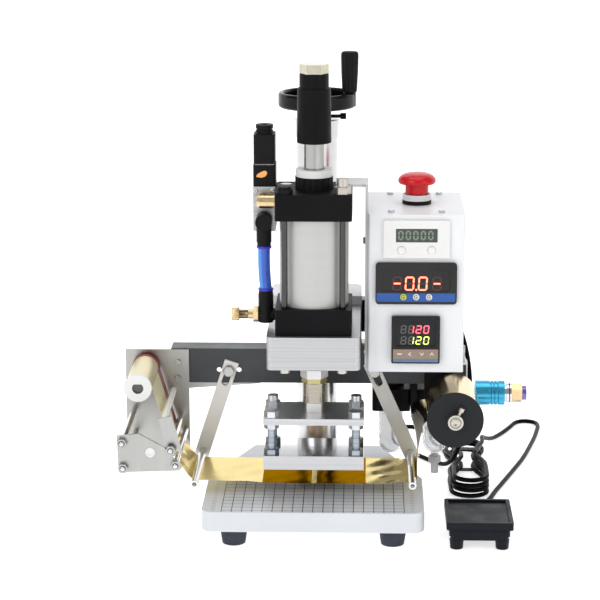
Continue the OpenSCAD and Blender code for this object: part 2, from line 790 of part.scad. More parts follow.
module valve_coil() color("#202224") {
    coil_z = valve_z + valve_h;
    connector_z = coil_z + coil_h + gasket_h;
    translate([valve_x, valve_y + 17, coil_z]) linear_extrude(coil_h) rounded_rect(valve_w, 30, 2);
    translate([valve_x, valve_y + 15, coil_z + coil_h]) linear_extrude(gasket_h) rounded_rect(19, 22, 2);
    translate([valve_x, valve_y + 15, connector_z])
        linear_extrude(connector_h) rounded_rect(valve_w - 1, 26, 3);
    translate([valve_x, valve_y + 13, connector_z + connector_h]) {
        tube(8.6, 4, 3.4);
        translate([0, 0, 3.4]) tube(7.6, 4, 1.6);
        translate([0, 0, 5]) tube(8.6, 4, 4);
    }
}

module brass_fittings() color("#b5a642") {
    elbow_r = port_r + 1;
    dome = 2.5;
    reach = -valve_x - cap_w / 2;
    translate([valve_x, ram_y, upper_port_z]) {
        along_y() cylinder(r = port_r - 0.5, h = valve_y - ram_y + port_depth - 1);
        translate([-elbow_r, 0, 0]) along_x() cylinder(r1 = elbow_r - dome, r2 = elbow_r, h = dome);
        translate([dome - elbow_r, 0, 0]) along_x() cylinder(r = elbow_r, h = elbow_r - dome + reach);
        translate([reach - 1, 0, 0]) along_x() cylinder(r = port_r, h = port_depth);
    }
    translate([needle_hex_x, ram_y, lower_port_z]) along_x() mirror([0, 0, 1]) difference() {
        union() {
            hex(needle_hex_af, needle_hex_l);
            translate([0, 0, needle_hex_l]) cylinder(r = 4.7, h = needle_bush_l);
        }
        translate([0, 0, -1]) cylinder(r = needle_r + running, h = needle_hex_l + needle_bush_l + 2);
    }
}

module plastic_fittings() color("#1d1d1f") {
    translate([valve_x, ram_y, valve_low_port_z]) {
        along_y() cylinder(r = port_r, h = valve_y - ram_y + port_depth - 1);
        along_y() translate([0, 0, -8.5]) cylinder(r = 8.2, h = 15);
        translate([0, 0, hose_top_z + 4 - valve_low_port_z])
            cylinder(r = flow_body_r, h = valve_low_port_z - hose_top_z - 4);
        translate([0, 0, hose_top_z - valve_low_port_z]) cylinder(r = flow_body_r - 0.7, h = 5);
    }
    difference() {
        translate([flow_x, ram_y, lower_port_z]) {
            along_x() cylinder(r = port_r, h = -flow_x - cap_w / 2 + port_depth - 1);
            translate([0, 0, -flow_body_r])
                cylinder(r = flow_body_r, h = hose_foot_z - 4 - lower_port_z + flow_body_r);
            translate([0, 0, hose_foot_z - 5 - lower_port_z]) cylinder(r = flow_body_r - 0.4, h = 5);
            along_x() mirror([0, 0, 1]) cylinder(r = port_r + 0.2, h = flow_body_r);
        }
        translate([needle_hex_x - 1, ram_y, lower_port_z]) along_x()
            cylinder(r = needle_r + running, h = 4.5);
    }
    translate([gland_x, box_y + box_d, gland_z]) along_y() {
        cylinder(r = gland_hex_r, h = gland_hex_l);
        translate([0, 0, gland_hex_l]) cylinder(r1 = gland_hex_r - 1.5, r2 = cord_r + 1, h = gland_cone_l);
    }
    translate([-tie_pitch / 2, ram_y - tie_pitch / 2, boss_z]) {
        cylinder(r = 8.3, h = 4.5);
        translate([0, 0, 4.5]) cylinder(r = 6.5, h = 2.5);
    }
}

module air_hose() color("#2f6fd0") {
    bow = 1.5;
    seat = 0.3;
    end = 4;
    mid_z = (hose_top_z + hose_foot_z) / 2;
    swept_tube(smooth([
        [valve_x, ram_y, hose_top_z - seat], [valve_x, ram_y, hose_top_z - end],
        [valve_x, ram_y, hose_top_z - 2 * end], [valve_x - bow, ram_y, mid_z],
        [flow_x, ram_y, hose_foot_z + 2 * end], [flow_x, ram_y, hose_foot_z + end],
        [flow_x, ram_y, hose_foot_z + seat]
    ], 3), hose_r, 12);
}

module needle_knob() color("#c9a54a")
    translate([needle_hex_x, ram_y, lower_port_z]) along_x() mirror([0, 0, 1]) {
        bush = needle_hex_l + needle_bush_l;
        translate([0, 0, -3]) cylinder(r = needle_r, h = bush + 5);
        translate([0, 0, bush + 0.3]) cylinder(r = 4.5, h = 9);
        translate([0, 0, bush + 9]) cylinder(r = 6.6, h = 7.5);
    }

module cross_bar() color("#3a3f48") difference() {
    notch_x = box_x - bracket_t - 0.5;
    translate([bar_left, bar_y, bar_z]) cube([bar_right - bar_left, bar_d, bar_h]);
    translate([bar_left - 1, bar_y + bar_wall, bar_z + bar_wall])
        cube([bar_right - bar_left + 2, bar_d, bar_h - 2 * bar_wall]);
    for (x = [strut_left_x, strut_right_x])
        translate([x, bar_y - 1, strut_bolt_z]) along_y() cylinder(r = 3 + running, h = bar_wall + 2);
    for (x = [-1, 1]) translate([strut_left_x + x * strut_hole_pitch / 2, bar_y - 1, strut_bolt_z]) along_y()
        cylinder(r = strut_hole_r, h = bar_wall + 2);
    translate([notch_x, bar_y - 1, box_z - 0.3]) cube([bar_right - notch_x + 1, bar_d + 2, bar_h]);
}

module head_brackets() color("lightgray") {
    valve_back = valve_y + valve_d;
    cap_back = ram_y + cap_w / 2;
    spacer_w = 12;
    spacer_x = -cap_w / 2 + cap_corner_r;
    hold_x = valve_x - valve_w / 2 + 1;
    hold_z = upper_cap_z + 3;
    hold_h = cap_h - 6;
    side_y = box_y + 5;
    side_d = 40;
    side_top = boss_z + bracket_t;
    flange_x = 21;
    air_bracket_x = air_left_x + air_w / 2;
    // Valve bracket: a plate behind the valve and a spacer on the back of the upper cap
    translate([hold_x, valve_back, hold_z]) cube([spacer_x + spacer_w - hold_x, bracket_t, hold_h]);
    translate([spacer_x, cap_back, hold_z]) cube([spacer_w, valve_back - cap_back + 1, hold_h]);
    // Box bracket: a side plate with a flange on the upper cap and a spacer on the clamp
    translate([box_x - bracket_t, side_y, box_z + 2]) cube([bracket_t, side_d, side_top - box_z - 2]);
    translate([box_x - bracket_t, side_y + side_d - 1, box_z + 2])
        cube([bracket_t, box_d - side_d - 10, box_h / 2]);
    translate([flange_x, side_y + 4, boss_z]) cube([box_x - flange_x - 1, side_d - 4, bracket_t]);
    translate([clamp_w / 2, clamp_y + 3, head_z + 3]) cube([box_x - bracket_t - clamp_w / 2, 18, 34]);
    // Air unit bracket, hung under the cross bar
    translate([air_bracket_x, bar_y + 4, air_z + 6])
        cube([air_pitch - air_w, air_y + air_d / 2 - bar_y - 4, bar_z - air_z - 6]);
    // Tapered stiffener under the left of the cross bar
    upright(bar_y, 4) polygon([
        [unwinder_right, bar_z], [stiffener_end, bar_z], [stiffener_end, bar_z - 0.8],
        [unwinder_right, bar_z - 6.3]
    ]);
}

module control_box() color("gainsboro") {
    mid = [box_mid_x, box_y + box_d / 2];
    difference() {
        translate([mid.x, mid.y, box_z])
            linear_extrude(box_h - box_wall) rounded_rect(box_w, box_d, box_corner_r);
        translate([box_x + box_wall, box_y + box_wall, box_z + box_wall])
            cube([box_w - 2 * box_wall, box_d - 2 * box_wall, box_h]);
        device_opening(counter_w, counter_h, counter_z);
        device_opening(timer_w, timer_h, timer_z);
        device_opening(controller_w, controller_w, controller_z);
    }
    difference() {
        translate([mid.x, mid.y, lid_z]) linear_extrude(box_wall) rounded_rect(box_w, box_d, box_corner_r);
        translate([estop_x, estop_y, lid_z - 1]) cylinder(r = estop_neck_r + slip, h = box_wall + 2);
        for (x = [-lid_screw_x, lid_screw_x], y = [lid_screw_y + 3, box_d - lid_screw_y])
            translate([box_mid_x + x, box_y + y, lid_z - 1]) cylinder(r = 1.5 + slip, h = box_wall + 2);
    }
}

// Hole in the box's front that a device's body passes through
module device_opening(w, h, z) {
    edge = device_lip - slip;
    translate([box_mid_x - w / 2 + edge, box_y - 1, z - h / 2 + edge])
        cube([w - 2 * edge, box_wall + 2, h - 2 * edge]);
}

// Panel device: a bezel on the box's front and a body behind it
module panel_device(w, h, z, bezel, depth, corner) {
    translate([box_mid_x, 0, z]) upright(box_y - bezel, bezel) rounded_rect(w, h, corner);
    translate([box_mid_x - w / 2 + device_lip, box_y - bezel / 2, z - h / 2 + device_lip])
        cube([w - 2 * device_lip, depth + bezel / 2, h - 2 * device_lip]);
}

// Display window, sunk into a bezel, with its foot at z
module panel_window(size, z, bezel, depth)
    translate([box_mid_x - size.x / 2, box_y - bezel - 1, z]) cube([size.x, 1 + depth, size.y]);

module key_hole(x, z, r, bezel) translate([x, box_y - bezel - 1, z]) along_y()
    cylinder(r = r + slip, h = 1 + key_length - key_stand + key_travel + 0.6);

module panel_key(x, z, r, bezel) translate([x, box_y - bezel - key_stand, z]) along_y() {
    cylinder(r1 = r - 0.4, r2 = r, h = 0.5);
    translate([0, 0, 0.5]) cylinder(r = r, h = key_length - 0.5);
}

module counter() color("white") difference() {
    panel_device(counter_w, counter_h, counter_z, counter_bezel, device_depth, 1.5);
    for (x = [-1, 1]) key_hole(box_mid_x + x * counter_key_half, counter_key_z, counter_key_r, counter_bezel);
    panel_window(counter_window, counter_z - 3, counter_bezel, 0.8);
}

module counter_key_left() color("#d0d0d0")
    panel_key(box_mid_x - counter_key_half, counter_key_z, counter_key_r, counter_bezel);

module counter_key_right() color("#d0d0d0")
    panel_key(box_mid_x + counter_key_half, counter_key_z, counter_key_r, counter_bezel);

module timer() color("#202226") difference() {
    panel_device(timer_w, timer_h, timer_z, timer_bezel, device_depth, 3.5);
    for (x = [-1, 0, 1]) key_hole(box_mid_x + x * timer_key_pitch, timer_key_z, timer_key_r, timer_bezel);
    panel_window(timer_window, timer_z - 7.5, timer_bezel, 0.6);
}

module timer_key_left() color("#c9d84a")
    panel_key(box_mid_x - timer_key_pitch, timer_key_z, timer_key_r, timer_bezel);

module timer_key_mid() color("white") panel_key(box_mid_x, timer_key_z, timer_key_r, timer_bezel);

module timer_key_right() color("white")
    panel_key(box_mid_x + timer_key_pitch, timer_key_z, timer_key_r, timer_bezel);

module temp_controller() color("#25282c") difference() {
    panel_device(controller_w, controller_w, controller_z, controller_bezel, 2.4 * device_depth, 1.5);
    panel_window(controller_window, controller_z - 6, controller_bezel, 1.2);
}

module estop_base() color("#2a2a2c") translate([estop_x, estop_y, estop_z]) difference() {
    ring_z = estop_flange_h + estop_ring_h;
    union() {
        cylinder(r = estop_base_r, h = estop_flange_h);
        translate([0, 0, estop_flange_h]) cylinder(r = estop_ring_r, h = estop_ring_h);
        translate([0, 0, -24]) cylinder(r = estop_neck_r, h = 25);
        translate([0, 0, -box_wall - 4]) cylinder(r = estop_base_r - 0.6, h = 4);
    }
    translate([0, 0, -18]) cylinder(r = estop_stem_r + running, h = 60);
    translate([0, 0, ring_z - estop_travel - 0.5]) cylinder(r = estop_skirt_r + 0.4, h = estop_travel + 1.5);
}

module estop_stem() translate([estop_x, estop_y, estop_z]) {
    foot = estop_flange_h + estop_ring_h + 0.5;
    top = foot + estop_skirt_h - 0.2;
    color("#404044") translate([0, 0, -12]) cylinder(r = estop_stem_r, h = top + 12);
    color("#d01818") translate([0, 0, foot]) cylinder(r = estop_skirt_r, h = top - foot);
    color("#404044") translate([0, 0, top]) cylinder(r = estop_spigot_r, h = 6);
}

module estop_head() color("#d01818") {
    foot = estop_flange_h + estop_ring_h + 0.5;
    r = estop_head_r;
    bore = estop_spigot_r + running;
    translate([estop_x, estop_y, estop_z + foot + estop_skirt_h]) rotate_extrude() polygon([
        [bore, 0], [r - 1.5, 0], [r - 0.3, 1.2], [r, 3], [r - 0.6, 5.4], [r - 3, 8], [r - 7, 9.8],
        [r - 12, 10.6],
        [0, 11], [0, 6.3], [bore, 6.3]
    ]);
}

// Strut from a bolt on the bar to a guide rod: a slotted flat bar
module strut(x, guide_x) upright(bar_y - strut_t, strut_t) translate([x, strut_bolt_z]) {
    run = [guide_x - x, guide_z - strut_bolt_z];
    rotate(atan2(run.y, run.x)) difference() {
        translate([-10, -strut_w / 2]) square([norm(run) + 17, strut_w]);
        translate([-2, 0]) slot_outline(15, 3.8);
        translate([norm(run), 0]) circle(guide_r + running);
    }
}

// Unwinder's tie rods and rollers, as places in X and Z
roller_places = [
    [-188.1, table_z + 64.5], [-187.5, table_z + 39], [-140.1, table_z + 57.7], [-135.4, table_z + 42.2]
];
arm_rod_place = [-147.5, table_z + 84.5];

module foil_plates() color("#c9c9c4") {
    z = table_z;
    upright(foil_plate_y, sheet_t) difference() {
        translate([unwinder_left, unwinder_foot])
            square([unwinder_right - unwinder_left, unwinder_top - unwinder_foot]);
        translate([supply_x, supply_z]) circle(supply_shaft_r + running);
    }
    upright(front_plate_y, sheet_t) difference() {
        polygon([[-193.5, z + 71.4], [-171.6, z + 73.7], [-146.3, z + 59.6], [-129.4, z + 39.1],
            [-132.3, z + 35.9], [-192.2, z + 33.7]]);
        translate([-160.6, z + 54.3]) circle(5.25);
    }
    upright(front_plate_y + sheet_t, sheet_t) difference() {
        polygon([[-152, z + 88.5], [-139, z + 91], [-129, z + 53.5], [-145, z + 57.6]]);
        translate(roller_places[2]) circle(roller_r + slip);
    }
    upright(foil_plate_y, sheet_t) difference() {
        polygon([
            [reel_bracket_x, bar_z + reel_bracket_up], [reel_x, bar_z + reel_bracket_up],
            [reel_x + reel_bracket_half, reel_z + reel_bracket_flat],
            [reel_x + reel_bracket_half, reel_z - reel_bracket_flat],
            [reel_x + reel_bracket_flat, reel_z - reel_bracket_half],
            [reel_x - reel_bracket_flat, reel_z - reel_bracket_half],
            [reel_bracket_x, bar_z - reel_bracket_down]
        ]);
        translate([reel_x, reel_z]) circle(reel_shaft_r + 1);
    }
    strut(strut_left_x, guide_left_x);
    strut(strut_right_x, guide_right_x);
}

module foil_rods() color("silver") {
    for (x = [guide_left_x, guide_right_x]) translate([x, guide_front_y, guide_z]) along_y() difference() {
        cylinder(r = guide_r, h = bar_y - guide_front_y);
        translate([0, 0, -1]) cylinder(r = guide_r * 0.5, h = guide_bore_l + 1);
    }
    for (p = roller_places) translate([p.x, front_plate_y + sheet_t, p.y]) along_y()
        cylinder(r = roller_r, h = foil_plate_y - front_plate_y - sheet_t);
    translate([arm_rod_place.x, front_plate_y + 2 * sheet_t, arm_rod_place.y]) along_y()
        cylinder(r = roller_r, h = foil_plate_y - front_plate_y - 2 * sheet_t);
}

module supply_spindle() color("white") translate([supply_x, 0, supply_z]) {
    translate([0, foil_y, 0]) along_y() cylinder(r = supply_shaft_r, h = bar_y + 8 - foil_y);
    translate([0, foil_y - hub_t, 0]) along_y() difference() {
        cylinder(r = hub_r, h = hub_t);
        translate([0, 0, -1]) intersection() {
            cylinder(r = 5.5, h = 3.5);
            translate([-6, -4, 0]) cube([12, 12, 4]);
        }
    }
    translate([0, bar_y + 0.3, 0]) along_y() cylinder(r = 7, h = 4);
}

module foil_roll() color("#d9b648")
    translate([supply_x, foil_y, supply_z]) along_y() tube(supply_r, supply_shaft_r, foil_w);

// A thin band along points in X and Z
function ribbon(p, t) = let (n = [for (i = [0:len(p) - 1])
        let (d = unit(p[min(i + 1, len(p) - 1)] - p[max(i - 1, 0)])) [-d.y, d.x] * t / 2])
    concat([for (i = [0:len(p) - 1]) p[i] + n[i]], [for (i = [len(p) - 1:-1:0]) p[i] - n[i]]);

module foil_web() color("#d9b648") {
    low = roller_places[3];
    start = [supply_x + supply_r + foil_gap, supply_z];
    finish = [reel_x - takeup_r - foil_gap - 0.3, reel_z - 2];
    upright(foil_y, foil_w) polygon(ribbon([
        start, [roller_places[2].x - 5.4, roller_places[2].y], [low.x - 5.6, low.y - 2.2],
        [guide_left_x - guide_r - 1.4, foil_z + 1.6], [guide_left_x + 0.8, foil_z],
        [guide_right_x - 1, foil_z], [guide_right_x + guide_r + 1, foil_z + 1.8], finish
    ], foil_t));
}

module reel_motor() color("#9a9a9a") translate([reel_x, bar_y, reel_z]) along_y() difference() {
    cylinder(r = motor_r, h = motor_l);
    translate([0, 0, -1]) cylinder(r = reel_shaft_r + running, h = 13);
}

module reel_spindle() color("silver") translate([reel_x, 0, reel_z]) {
    disc_y = foil_y - 4 - disc_t;
    translate([0, disc_y - collar_l, 0]) along_y()
        cylinder(r = reel_shaft_r, h = bar_y + 11 - disc_y + collar_l);
    translate([0, disc_y - collar_l, 0]) along_y() tube(collar_r, reel_shaft_r, collar_l);
    translate([0, disc_y - collar_l / 2, 0]) rotate([0, 25, 0]) {
        translate([0, 0, collar_r - 0.5]) cylinder(r = 1.6, h = 6);
        translate([0, 0, collar_r + 4]) cylinder(r = 3, h = 4);
    }
}

module reel_disc() color("#1a1a1c")
    translate([reel_x, foil_y - 4 - disc_t, reel_z]) along_y() tube(disc_r, reel_shaft_r, disc_t);

module reel_foil() color("#d9b648")
    translate([reel_x, foil_y - 4, reel_z]) along_y() tube(takeup_r, reel_shaft_r, foil_w + 4);

module air_bodies() color("#26282b") {
    for (i = [0, 1]) translate([air_left_x + i * air_pitch, air_y, air_z])
        linear_extrude(air_h) rounded_rect(air_w, air_d, 3);
    translate([air_left_x, air_y, air_z + air_h]) cylinder(r = knob_post_r, h = knob_h);
    translate([air_left_x + air_pitch, air_y, air_z + air_h]) cylinder(r = 9, h = 5);
}

// Clear bowl with a round floor, hung under an air body
module bowl() rotate_extrude() difference() {
    depth = air_z - bowl_floor_z;
    union() {
        translate([0, bowl_r]) square([bowl_r, depth - bowl_r]);
        intersection() {
            translate([0, bowl_r]) circle(bowl_r);
            square([bowl_r, bowl_r]);
        }
    }
    translate([0, bowl_r]) square([bowl_r - bowl_wall, depth]);
    intersection() {
        translate([0, bowl_r]) circle(bowl_r - bowl_wall);
        square([bowl_r, bowl_r + 1]);
    }
}

module air_bowls() color("#cfd8dc") {
    for (i = [0, 1]) translate([air_left_x + i * air_pitch, air_y, bowl_floor_z]) bowl();
    translate([air_left_x + air_pitch, air_y, bowl_floor_z - drain_l])
        cylinder(r = drain_r, h = drain_l - drain_gap);
}

module regulator_knob() color("#1b1c1e") translate([air_left_x, air_y, air_z + air_h + 1]) difference() {
    cylinder(r1 = knob_r, r2 = knob_r - 0.8, h = knob_h + 2);
    translate([0, 0, -1]) cylinder(r = knob_post_r + running, h = knob_h + 0.5);
}

module slide_valve() color("#c8ccd0") translate([0, air_y, slide_z]) difference() {
    nipple_x = air_left_x + air_pitch + air_w / 2;
    union() {
        translate([nipple_x, 0, 0]) along_x() cylinder(r = nipple_r, h = slide_core_x - nipple_x + 1);
        translate([slide_core_x, 0, 0]) along_x()
            cylinder(r = slide_core_r, h = sleeve_stop_x - slide_core_x + 1);
        translate([sleeve_stop_x, 0, 0]) along_x() cylinder(r = stop_ring_r, h = stop_ring_l);
        translate([sleeve_stop_x + stop_ring_l, 0, 0]) along_x() hex(inlet_hex_w, inlet_hex_l);
        translate([inlet_nose_x, 0, 0]) along_x() cylinder(r = inlet_nose_r, h = inlet_end - inlet_nose_x);
    }
    translate([inlet_end - inlet_bore_l, 0, 0]) along_x() cylinder(r = inlet_r, h = inlet_bore_l + 1);
}

module valve_sleeve() color("#2a8fd6") translate([sleeve_x, air_y, slide_z]) along_x() difference() {
    cylinder(r = sleeve_r, h = sleeve_l);
    translate([0, 0, -1]) cylinder(r = slide_core_r + running, h = sleeve_l + 2);
    for (z = [8, 12, 15.5]) translate([0, 0, sleeve_l - z]) tube(sleeve_r + 1, sleeve_r - 1, 1.4);
}

module piston_rod() color("silver") translate([0, ram_y, 0]) {
    stud_r = rod_r - 2;
    translate([0, 0, rod_z]) cylinder(r = rod_r, h = adjuster_z - rod_z);
    translate([0, 0, jam_z - 9]) cylinder(r = stud_r, h = rod_z - jam_z + 10);
    translate([0, 0, adjuster_z - 1]) cylinder(r = stud_r, h = cap_nut_z + 6 - adjuster_z);
    translate([0, 0, upper_cap_z - 26]) tube(bore_r, rod_r, 24);
}

module adjuster_sleeve() color("#1f2022") translate([0, ram_y, 0]) difference() {
    union() {
        translate([0, 0, adjuster_z]) cylinder(r1 = adjuster_r + 0.3, r2 = adjuster_r - 0.3, h = adjuster_h);
        translate([0, 0, adjuster_top_z]) cylinder(r = adjuster_r - 2.3, h = adjuster_top_h);
    }
    translate([0, 0, adjuster_z - 1]) cylinder(r = rod_r - 2, h = adjuster_h + adjuster_top_h + 2);
}

// Places of the four levelling bolts
levelling_x = plate_w / 2 - 8;
levelling_front_y = plate_y + 8;
levelling_back_y = plate_y + plate_d - 16;
module at_levelling_bolts()
    for (x = [-1, 1], y = [levelling_front_y, levelling_back_y])
        translate([x * levelling_x, y, 0]) children();

module ram_fasteners() color("#c8c8c8") {
    stud_r = rod_r - 2;
    translate([0, ram_y, 0]) {
        translate([0, 0, cap_nut_z]) difference() {
            hex(25, cap_nut_h);
            translate([0, 0, -1]) cylinder(r = stud_r, h = 6);
        }
        translate([0, 0, jam_z]) difference() {
            hex(22, jam_h);
            translate([0, 0, -1]) cylinder(r = stud_r, h = jam_h + 2);
        }
        translate([0, 0, lock_z]) difference() {
            hex(24, lock_h);
            translate([0, 0, -1]) cylinder(r = stud_r, h = lock_h + 2);
        }
    }
    at_levelling_bolts() {
        translate([0, 0, heater_z + heater_t - 8]) cylinder(r = 4, h = plate_gap + upper_t + 10);
        translate([0, 0, heater_z + heater_t]) hex(13, 6);
        translate([0, 0, upper_z - 5]) hex(13, 5);
        translate([0, 0, upper_z + upper_t]) hex(13, 6.5);
    }
    for (x = [-1, 1]) translate([x * levelling_x, levelling_back_y, upper_z + upper_t])
        cylinder(r = 5.5, h = 12);
}

module coupler() color("silver") translate([0, ram_y, coupler_z]) {
    flat = 18.5;
    flat_h = 10;
    linear_extrude(flat_h) intersection() {
        circle(coupler_r);
        square(flat, center = true);
    }
    difference() {
        translate([0, 0, flat_h]) cylinder(r = coupler_r, h = coupler_h - flat_h);
        translate([0, 0, coupler_h - 9]) cylinder(r = rod_r - 2, h = 10);
    }
}

module upper_plate() color("lightgray") difference() {
    translate([-plate_w / 2, plate_y, upper_z]) cube([plate_w, plate_d, upper_t]);
    at_levelling_bolts() translate([0, 0, upper_z - 1]) cylinder(r = 4 + running, h = upper_t + 2);
}

module heater_plate() {
    bore_l = plate_d - 10;
    color("lightgray") difference() {
        translate([-plate_w / 2, plate_y, heater_z]) cube([plate_w, plate_d, heater_t]);
        at_levelling_bolts() translate([0, 0, heater_z + heater_t - 8]) cylinder(r = 4 + running, h = 9);
        for (x = [-1, 1]) translate([x * plate_w / 4, plate_y + plate_d - bore_l, heater_z + heater_t / 2])
            along_y() cylinder(r = cartridge_r + running, h = bore_l + 1);
    }
    color("gray") for (x = [-1, 1])
        translate([x * plate_w / 4, plate_y + plate_d - bore_l, heater_z + heater_t / 2]) along_y()
            cylinder(r = cartridge_r, h = bore_l + 2);
}

module pedal_base() color("#2b2d31") {
    sole = 4;
    mid_y = pedal_body_y + pedal_body_d / 2;
    back_y = pedal_body_y + pedal_body_d;
    difference() {
        union() {
            translate([pedal_x, mid_y, pad_h]) linear_extrude(sole)
                rounded_rect(pedal_body_w - 3, pedal_body_d - 3, 4);
            translate([pedal_x, mid_y, pad_h + sole]) linear_extrude(pedal_body_top - pad_h - sole)
                rounded_rect(pedal_body_w, pedal_body_d, 4);
        }
        // Pockets for the treadle's lugs, crossed by the pin
        for (x = [-1, 1])
            translate([pedal_x + x * lug_x - lug_t / 2 - 0.5, pedal_pin_y - lug_w / 2 - 2, pad_h + 1.5])
                cube([lug_t + 1, lug_w + 4, pedal_body_top]);
    }
    translate([pedal_x - pedal_body_w / 2 - 1.5, pedal_pin_y, pedal_pin_z]) along_x()
        cylinder(r = pedal_pin_r, h = pedal_body_w + 3);
    translate([pedal_x, back_y, pedal_gland_z]) along_y()
        cylinder(r1 = 5, r2 = cord_r + 0.8, h = pedal_gland_end - back_y);
}

module treadle() color("#2e3035") {
    lip_z = pedal_top_z - pedal_lip_h;
    inner_w = pedal_w - 2 * pedal_lip_t;
    inner_d = pedal_d - 2 * pedal_lip_t;
    difference() {
        translate([pedal_x, pedal_front_y + pedal_d / 2, lip_z]) linear_extrude(pedal_h - lip_z)
            rounded_rect(pedal_w, pedal_d, 3);
        translate([pedal_x - inner_w / 2, pedal_front_y + pedal_lip_t, lip_z - 1])
            cube([inner_w, inner_d, pedal_lip_h + 1]);
        translate([pedal_x - pedal_w / 2 + pedal_rim, pedal_front_y + pedal_rim, pedal_h - pedal_rim_h])
            cube([pedal_w - 2 * pedal_rim, pedal_d - 2 * pedal_rim, pedal_rim_h + 1]);
    }
    for (x = [-1, 1]) difference() {
        translate([pedal_x + x * lug_x - lug_t / 2, pedal_pin_y - lug_w / 2, pedal_pin_z - 3])
            cube([lug_t, lug_w, pedal_top_z - pedal_pin_z + 4]);
        translate([pedal_x + x * lug_x - lug_t, pedal_pin_y, pedal_pin_z]) along_x()
            cylinder(r = pedal_pin_r + running, h = 2 * lug_t);
    }
}

module cord_lead() color("#151515") swept_tube(smooth(lead_route, 3), cord_r, 8);

module cord_hank() color("#151515") swept_tube(hank_route, cord_r, 6);

module cord_loop() color("#151515") swept_tube(smooth(loop_route, 3), cord_r, 8);

module cord_tie() color("#222222") {
    inside = 2 * (hank_half + hank_step - hank_pull + cord_r + 0.6);
    height = 3 * hank_layer + cord_dia + hank_lift + 0.6;
    translate([hank_x, hank_waist_y - tie_w / 2, height / 2 + tie_t / 2 + 0.1])
        upright(0, tie_w) difference() {
        rounded_rect(inside + 2 * tie_t, height + tie_t, 3);
        translate([0, tie_t / 4]) rounded_rect(inside, height - tie_t / 2, 2.4);
    }
}

placed() base_plate();
placed() rubber_feet();
placed() column();
placed() pedal_base();
placed() cord_lead();
placed() cord_hank();
placed() cord_tie();
placed() cord_loop();
placed() handwheel();
placed() leadscrew();
placed() crank_grip();
placed() lock_screw();
placed() head_block();
placed() column_clamp();
placed() lift_nut();
placed() cylinder_caps();
placed() barrel();
placed() head_fasteners();
placed() adjuster_boss();
placed() valve_body();
placed() valve_coil();
placed() brass_fittings();
placed() plastic_fittings();
placed() air_hose();
placed() needle_knob();
placed() cross_bar();
placed() head_brackets();
placed() control_box();
placed() counter();
placed() counter_key_left();
placed() counter_key_right();
placed() timer();
placed() timer_key_left();
placed() timer_key_mid();
placed() timer_key_right();
placed() temp_controller();
placed() estop_base();
placed() estop_stem();
placed() estop_head();
placed() foil_plates();
placed() foil_rods();
placed() supply_spindle();
placed() foil_roll();
placed() foil_web();
placed() reel_motor();
placed() reel_spindle();
placed() reel_disc();
placed() reel_foil();
placed() air_bodies();
placed() air_bowls();
placed() regulator_knob();
placed() slide_valve();
placed() valve_sleeve();
placed() piston_rod();
placed() adjuster_sleeve();
placed() ram_fasteners();
placed() coupler();
placed() upper_plate();
placed() heater_plate();
placed() treadle();
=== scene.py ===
# %% [markdown]
# # Dressing a hot foil stamping machine
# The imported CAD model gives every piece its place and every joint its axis. This lesson gives the pieces
# their looks: softened edges, paint, metal, foil, rubber and lit displays. Sizes and places below are in the
# millimetres of the part's drawing, where the ram stands at X = 0, and one helper turns them into the frame's
# metres.

import json
import math

import bmesh
import bpy
from mathutils import Matrix, Vector

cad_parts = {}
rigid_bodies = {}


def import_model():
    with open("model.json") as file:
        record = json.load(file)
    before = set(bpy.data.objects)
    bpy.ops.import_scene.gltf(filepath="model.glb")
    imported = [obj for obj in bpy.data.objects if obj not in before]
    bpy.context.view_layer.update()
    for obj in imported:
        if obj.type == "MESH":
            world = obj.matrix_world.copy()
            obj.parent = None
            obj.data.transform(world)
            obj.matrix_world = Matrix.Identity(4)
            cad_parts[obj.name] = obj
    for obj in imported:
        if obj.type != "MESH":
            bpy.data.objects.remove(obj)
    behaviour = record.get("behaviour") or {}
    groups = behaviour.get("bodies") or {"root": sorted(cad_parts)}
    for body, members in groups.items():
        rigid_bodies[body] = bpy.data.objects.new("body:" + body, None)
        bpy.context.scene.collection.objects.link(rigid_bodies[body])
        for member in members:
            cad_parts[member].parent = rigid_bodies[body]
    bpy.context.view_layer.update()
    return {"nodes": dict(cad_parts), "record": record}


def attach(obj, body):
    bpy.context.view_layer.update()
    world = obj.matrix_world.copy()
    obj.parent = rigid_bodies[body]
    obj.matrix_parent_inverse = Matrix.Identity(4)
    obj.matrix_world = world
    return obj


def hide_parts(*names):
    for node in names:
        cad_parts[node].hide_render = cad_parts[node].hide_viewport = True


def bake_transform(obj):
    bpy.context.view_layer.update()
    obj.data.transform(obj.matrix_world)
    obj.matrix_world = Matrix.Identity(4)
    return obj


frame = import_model()
NODES = frame["nodes"]
MM = 0.001
ORIGIN_X, ORIGIN_Y = 11.85, 12.5
RAM_Y = -34


def at(x, y, z):
    """A point of the part's drawing, in millimetres, as metres in the frame."""
    return Vector(((x - ORIGIN_X) * MM, (y - ORIGIN_Y) * MM, z * MM))


# %% [markdown]
# ## Camera
# The photograph was taken from about two metres, a little above the machine and with a long lens, so upright
# edges stay nearly parallel. The camera is pitched down instead of shifted, because shift would stay on in
# every other view. The standard view transform keeps blacks deep and whites white, as in a catalogue picture.

# %% Camera
PITCH, YAW, ROLL = 0.23349, 0.03165, -0.002
LENS, SENSOR = 126.6, 36.0
STAND = at(50.34, -2069.04, 721.7)
camera = bpy.data.objects.new("camera", bpy.data.cameras.new("camera"))
camera.data.sensor_width = SENSOR
camera.data.lens = LENS
camera.matrix_world = (
    Matrix.Translation(STAND)
    @ Matrix.Rotation(YAW, 4, "Z")
    @ Matrix.Rotation(math.pi / 2 - PITCH, 4, "X")
    @ Matrix.Rotation(ROLL, 4, "Z")
)
bpy.context.scene.collection.objects.link(camera)
bpy.context.scene.camera = camera
bpy.context.scene.view_settings.view_transform = "Standard"
print("camera at", [round(v, 3) for v in camera.location])

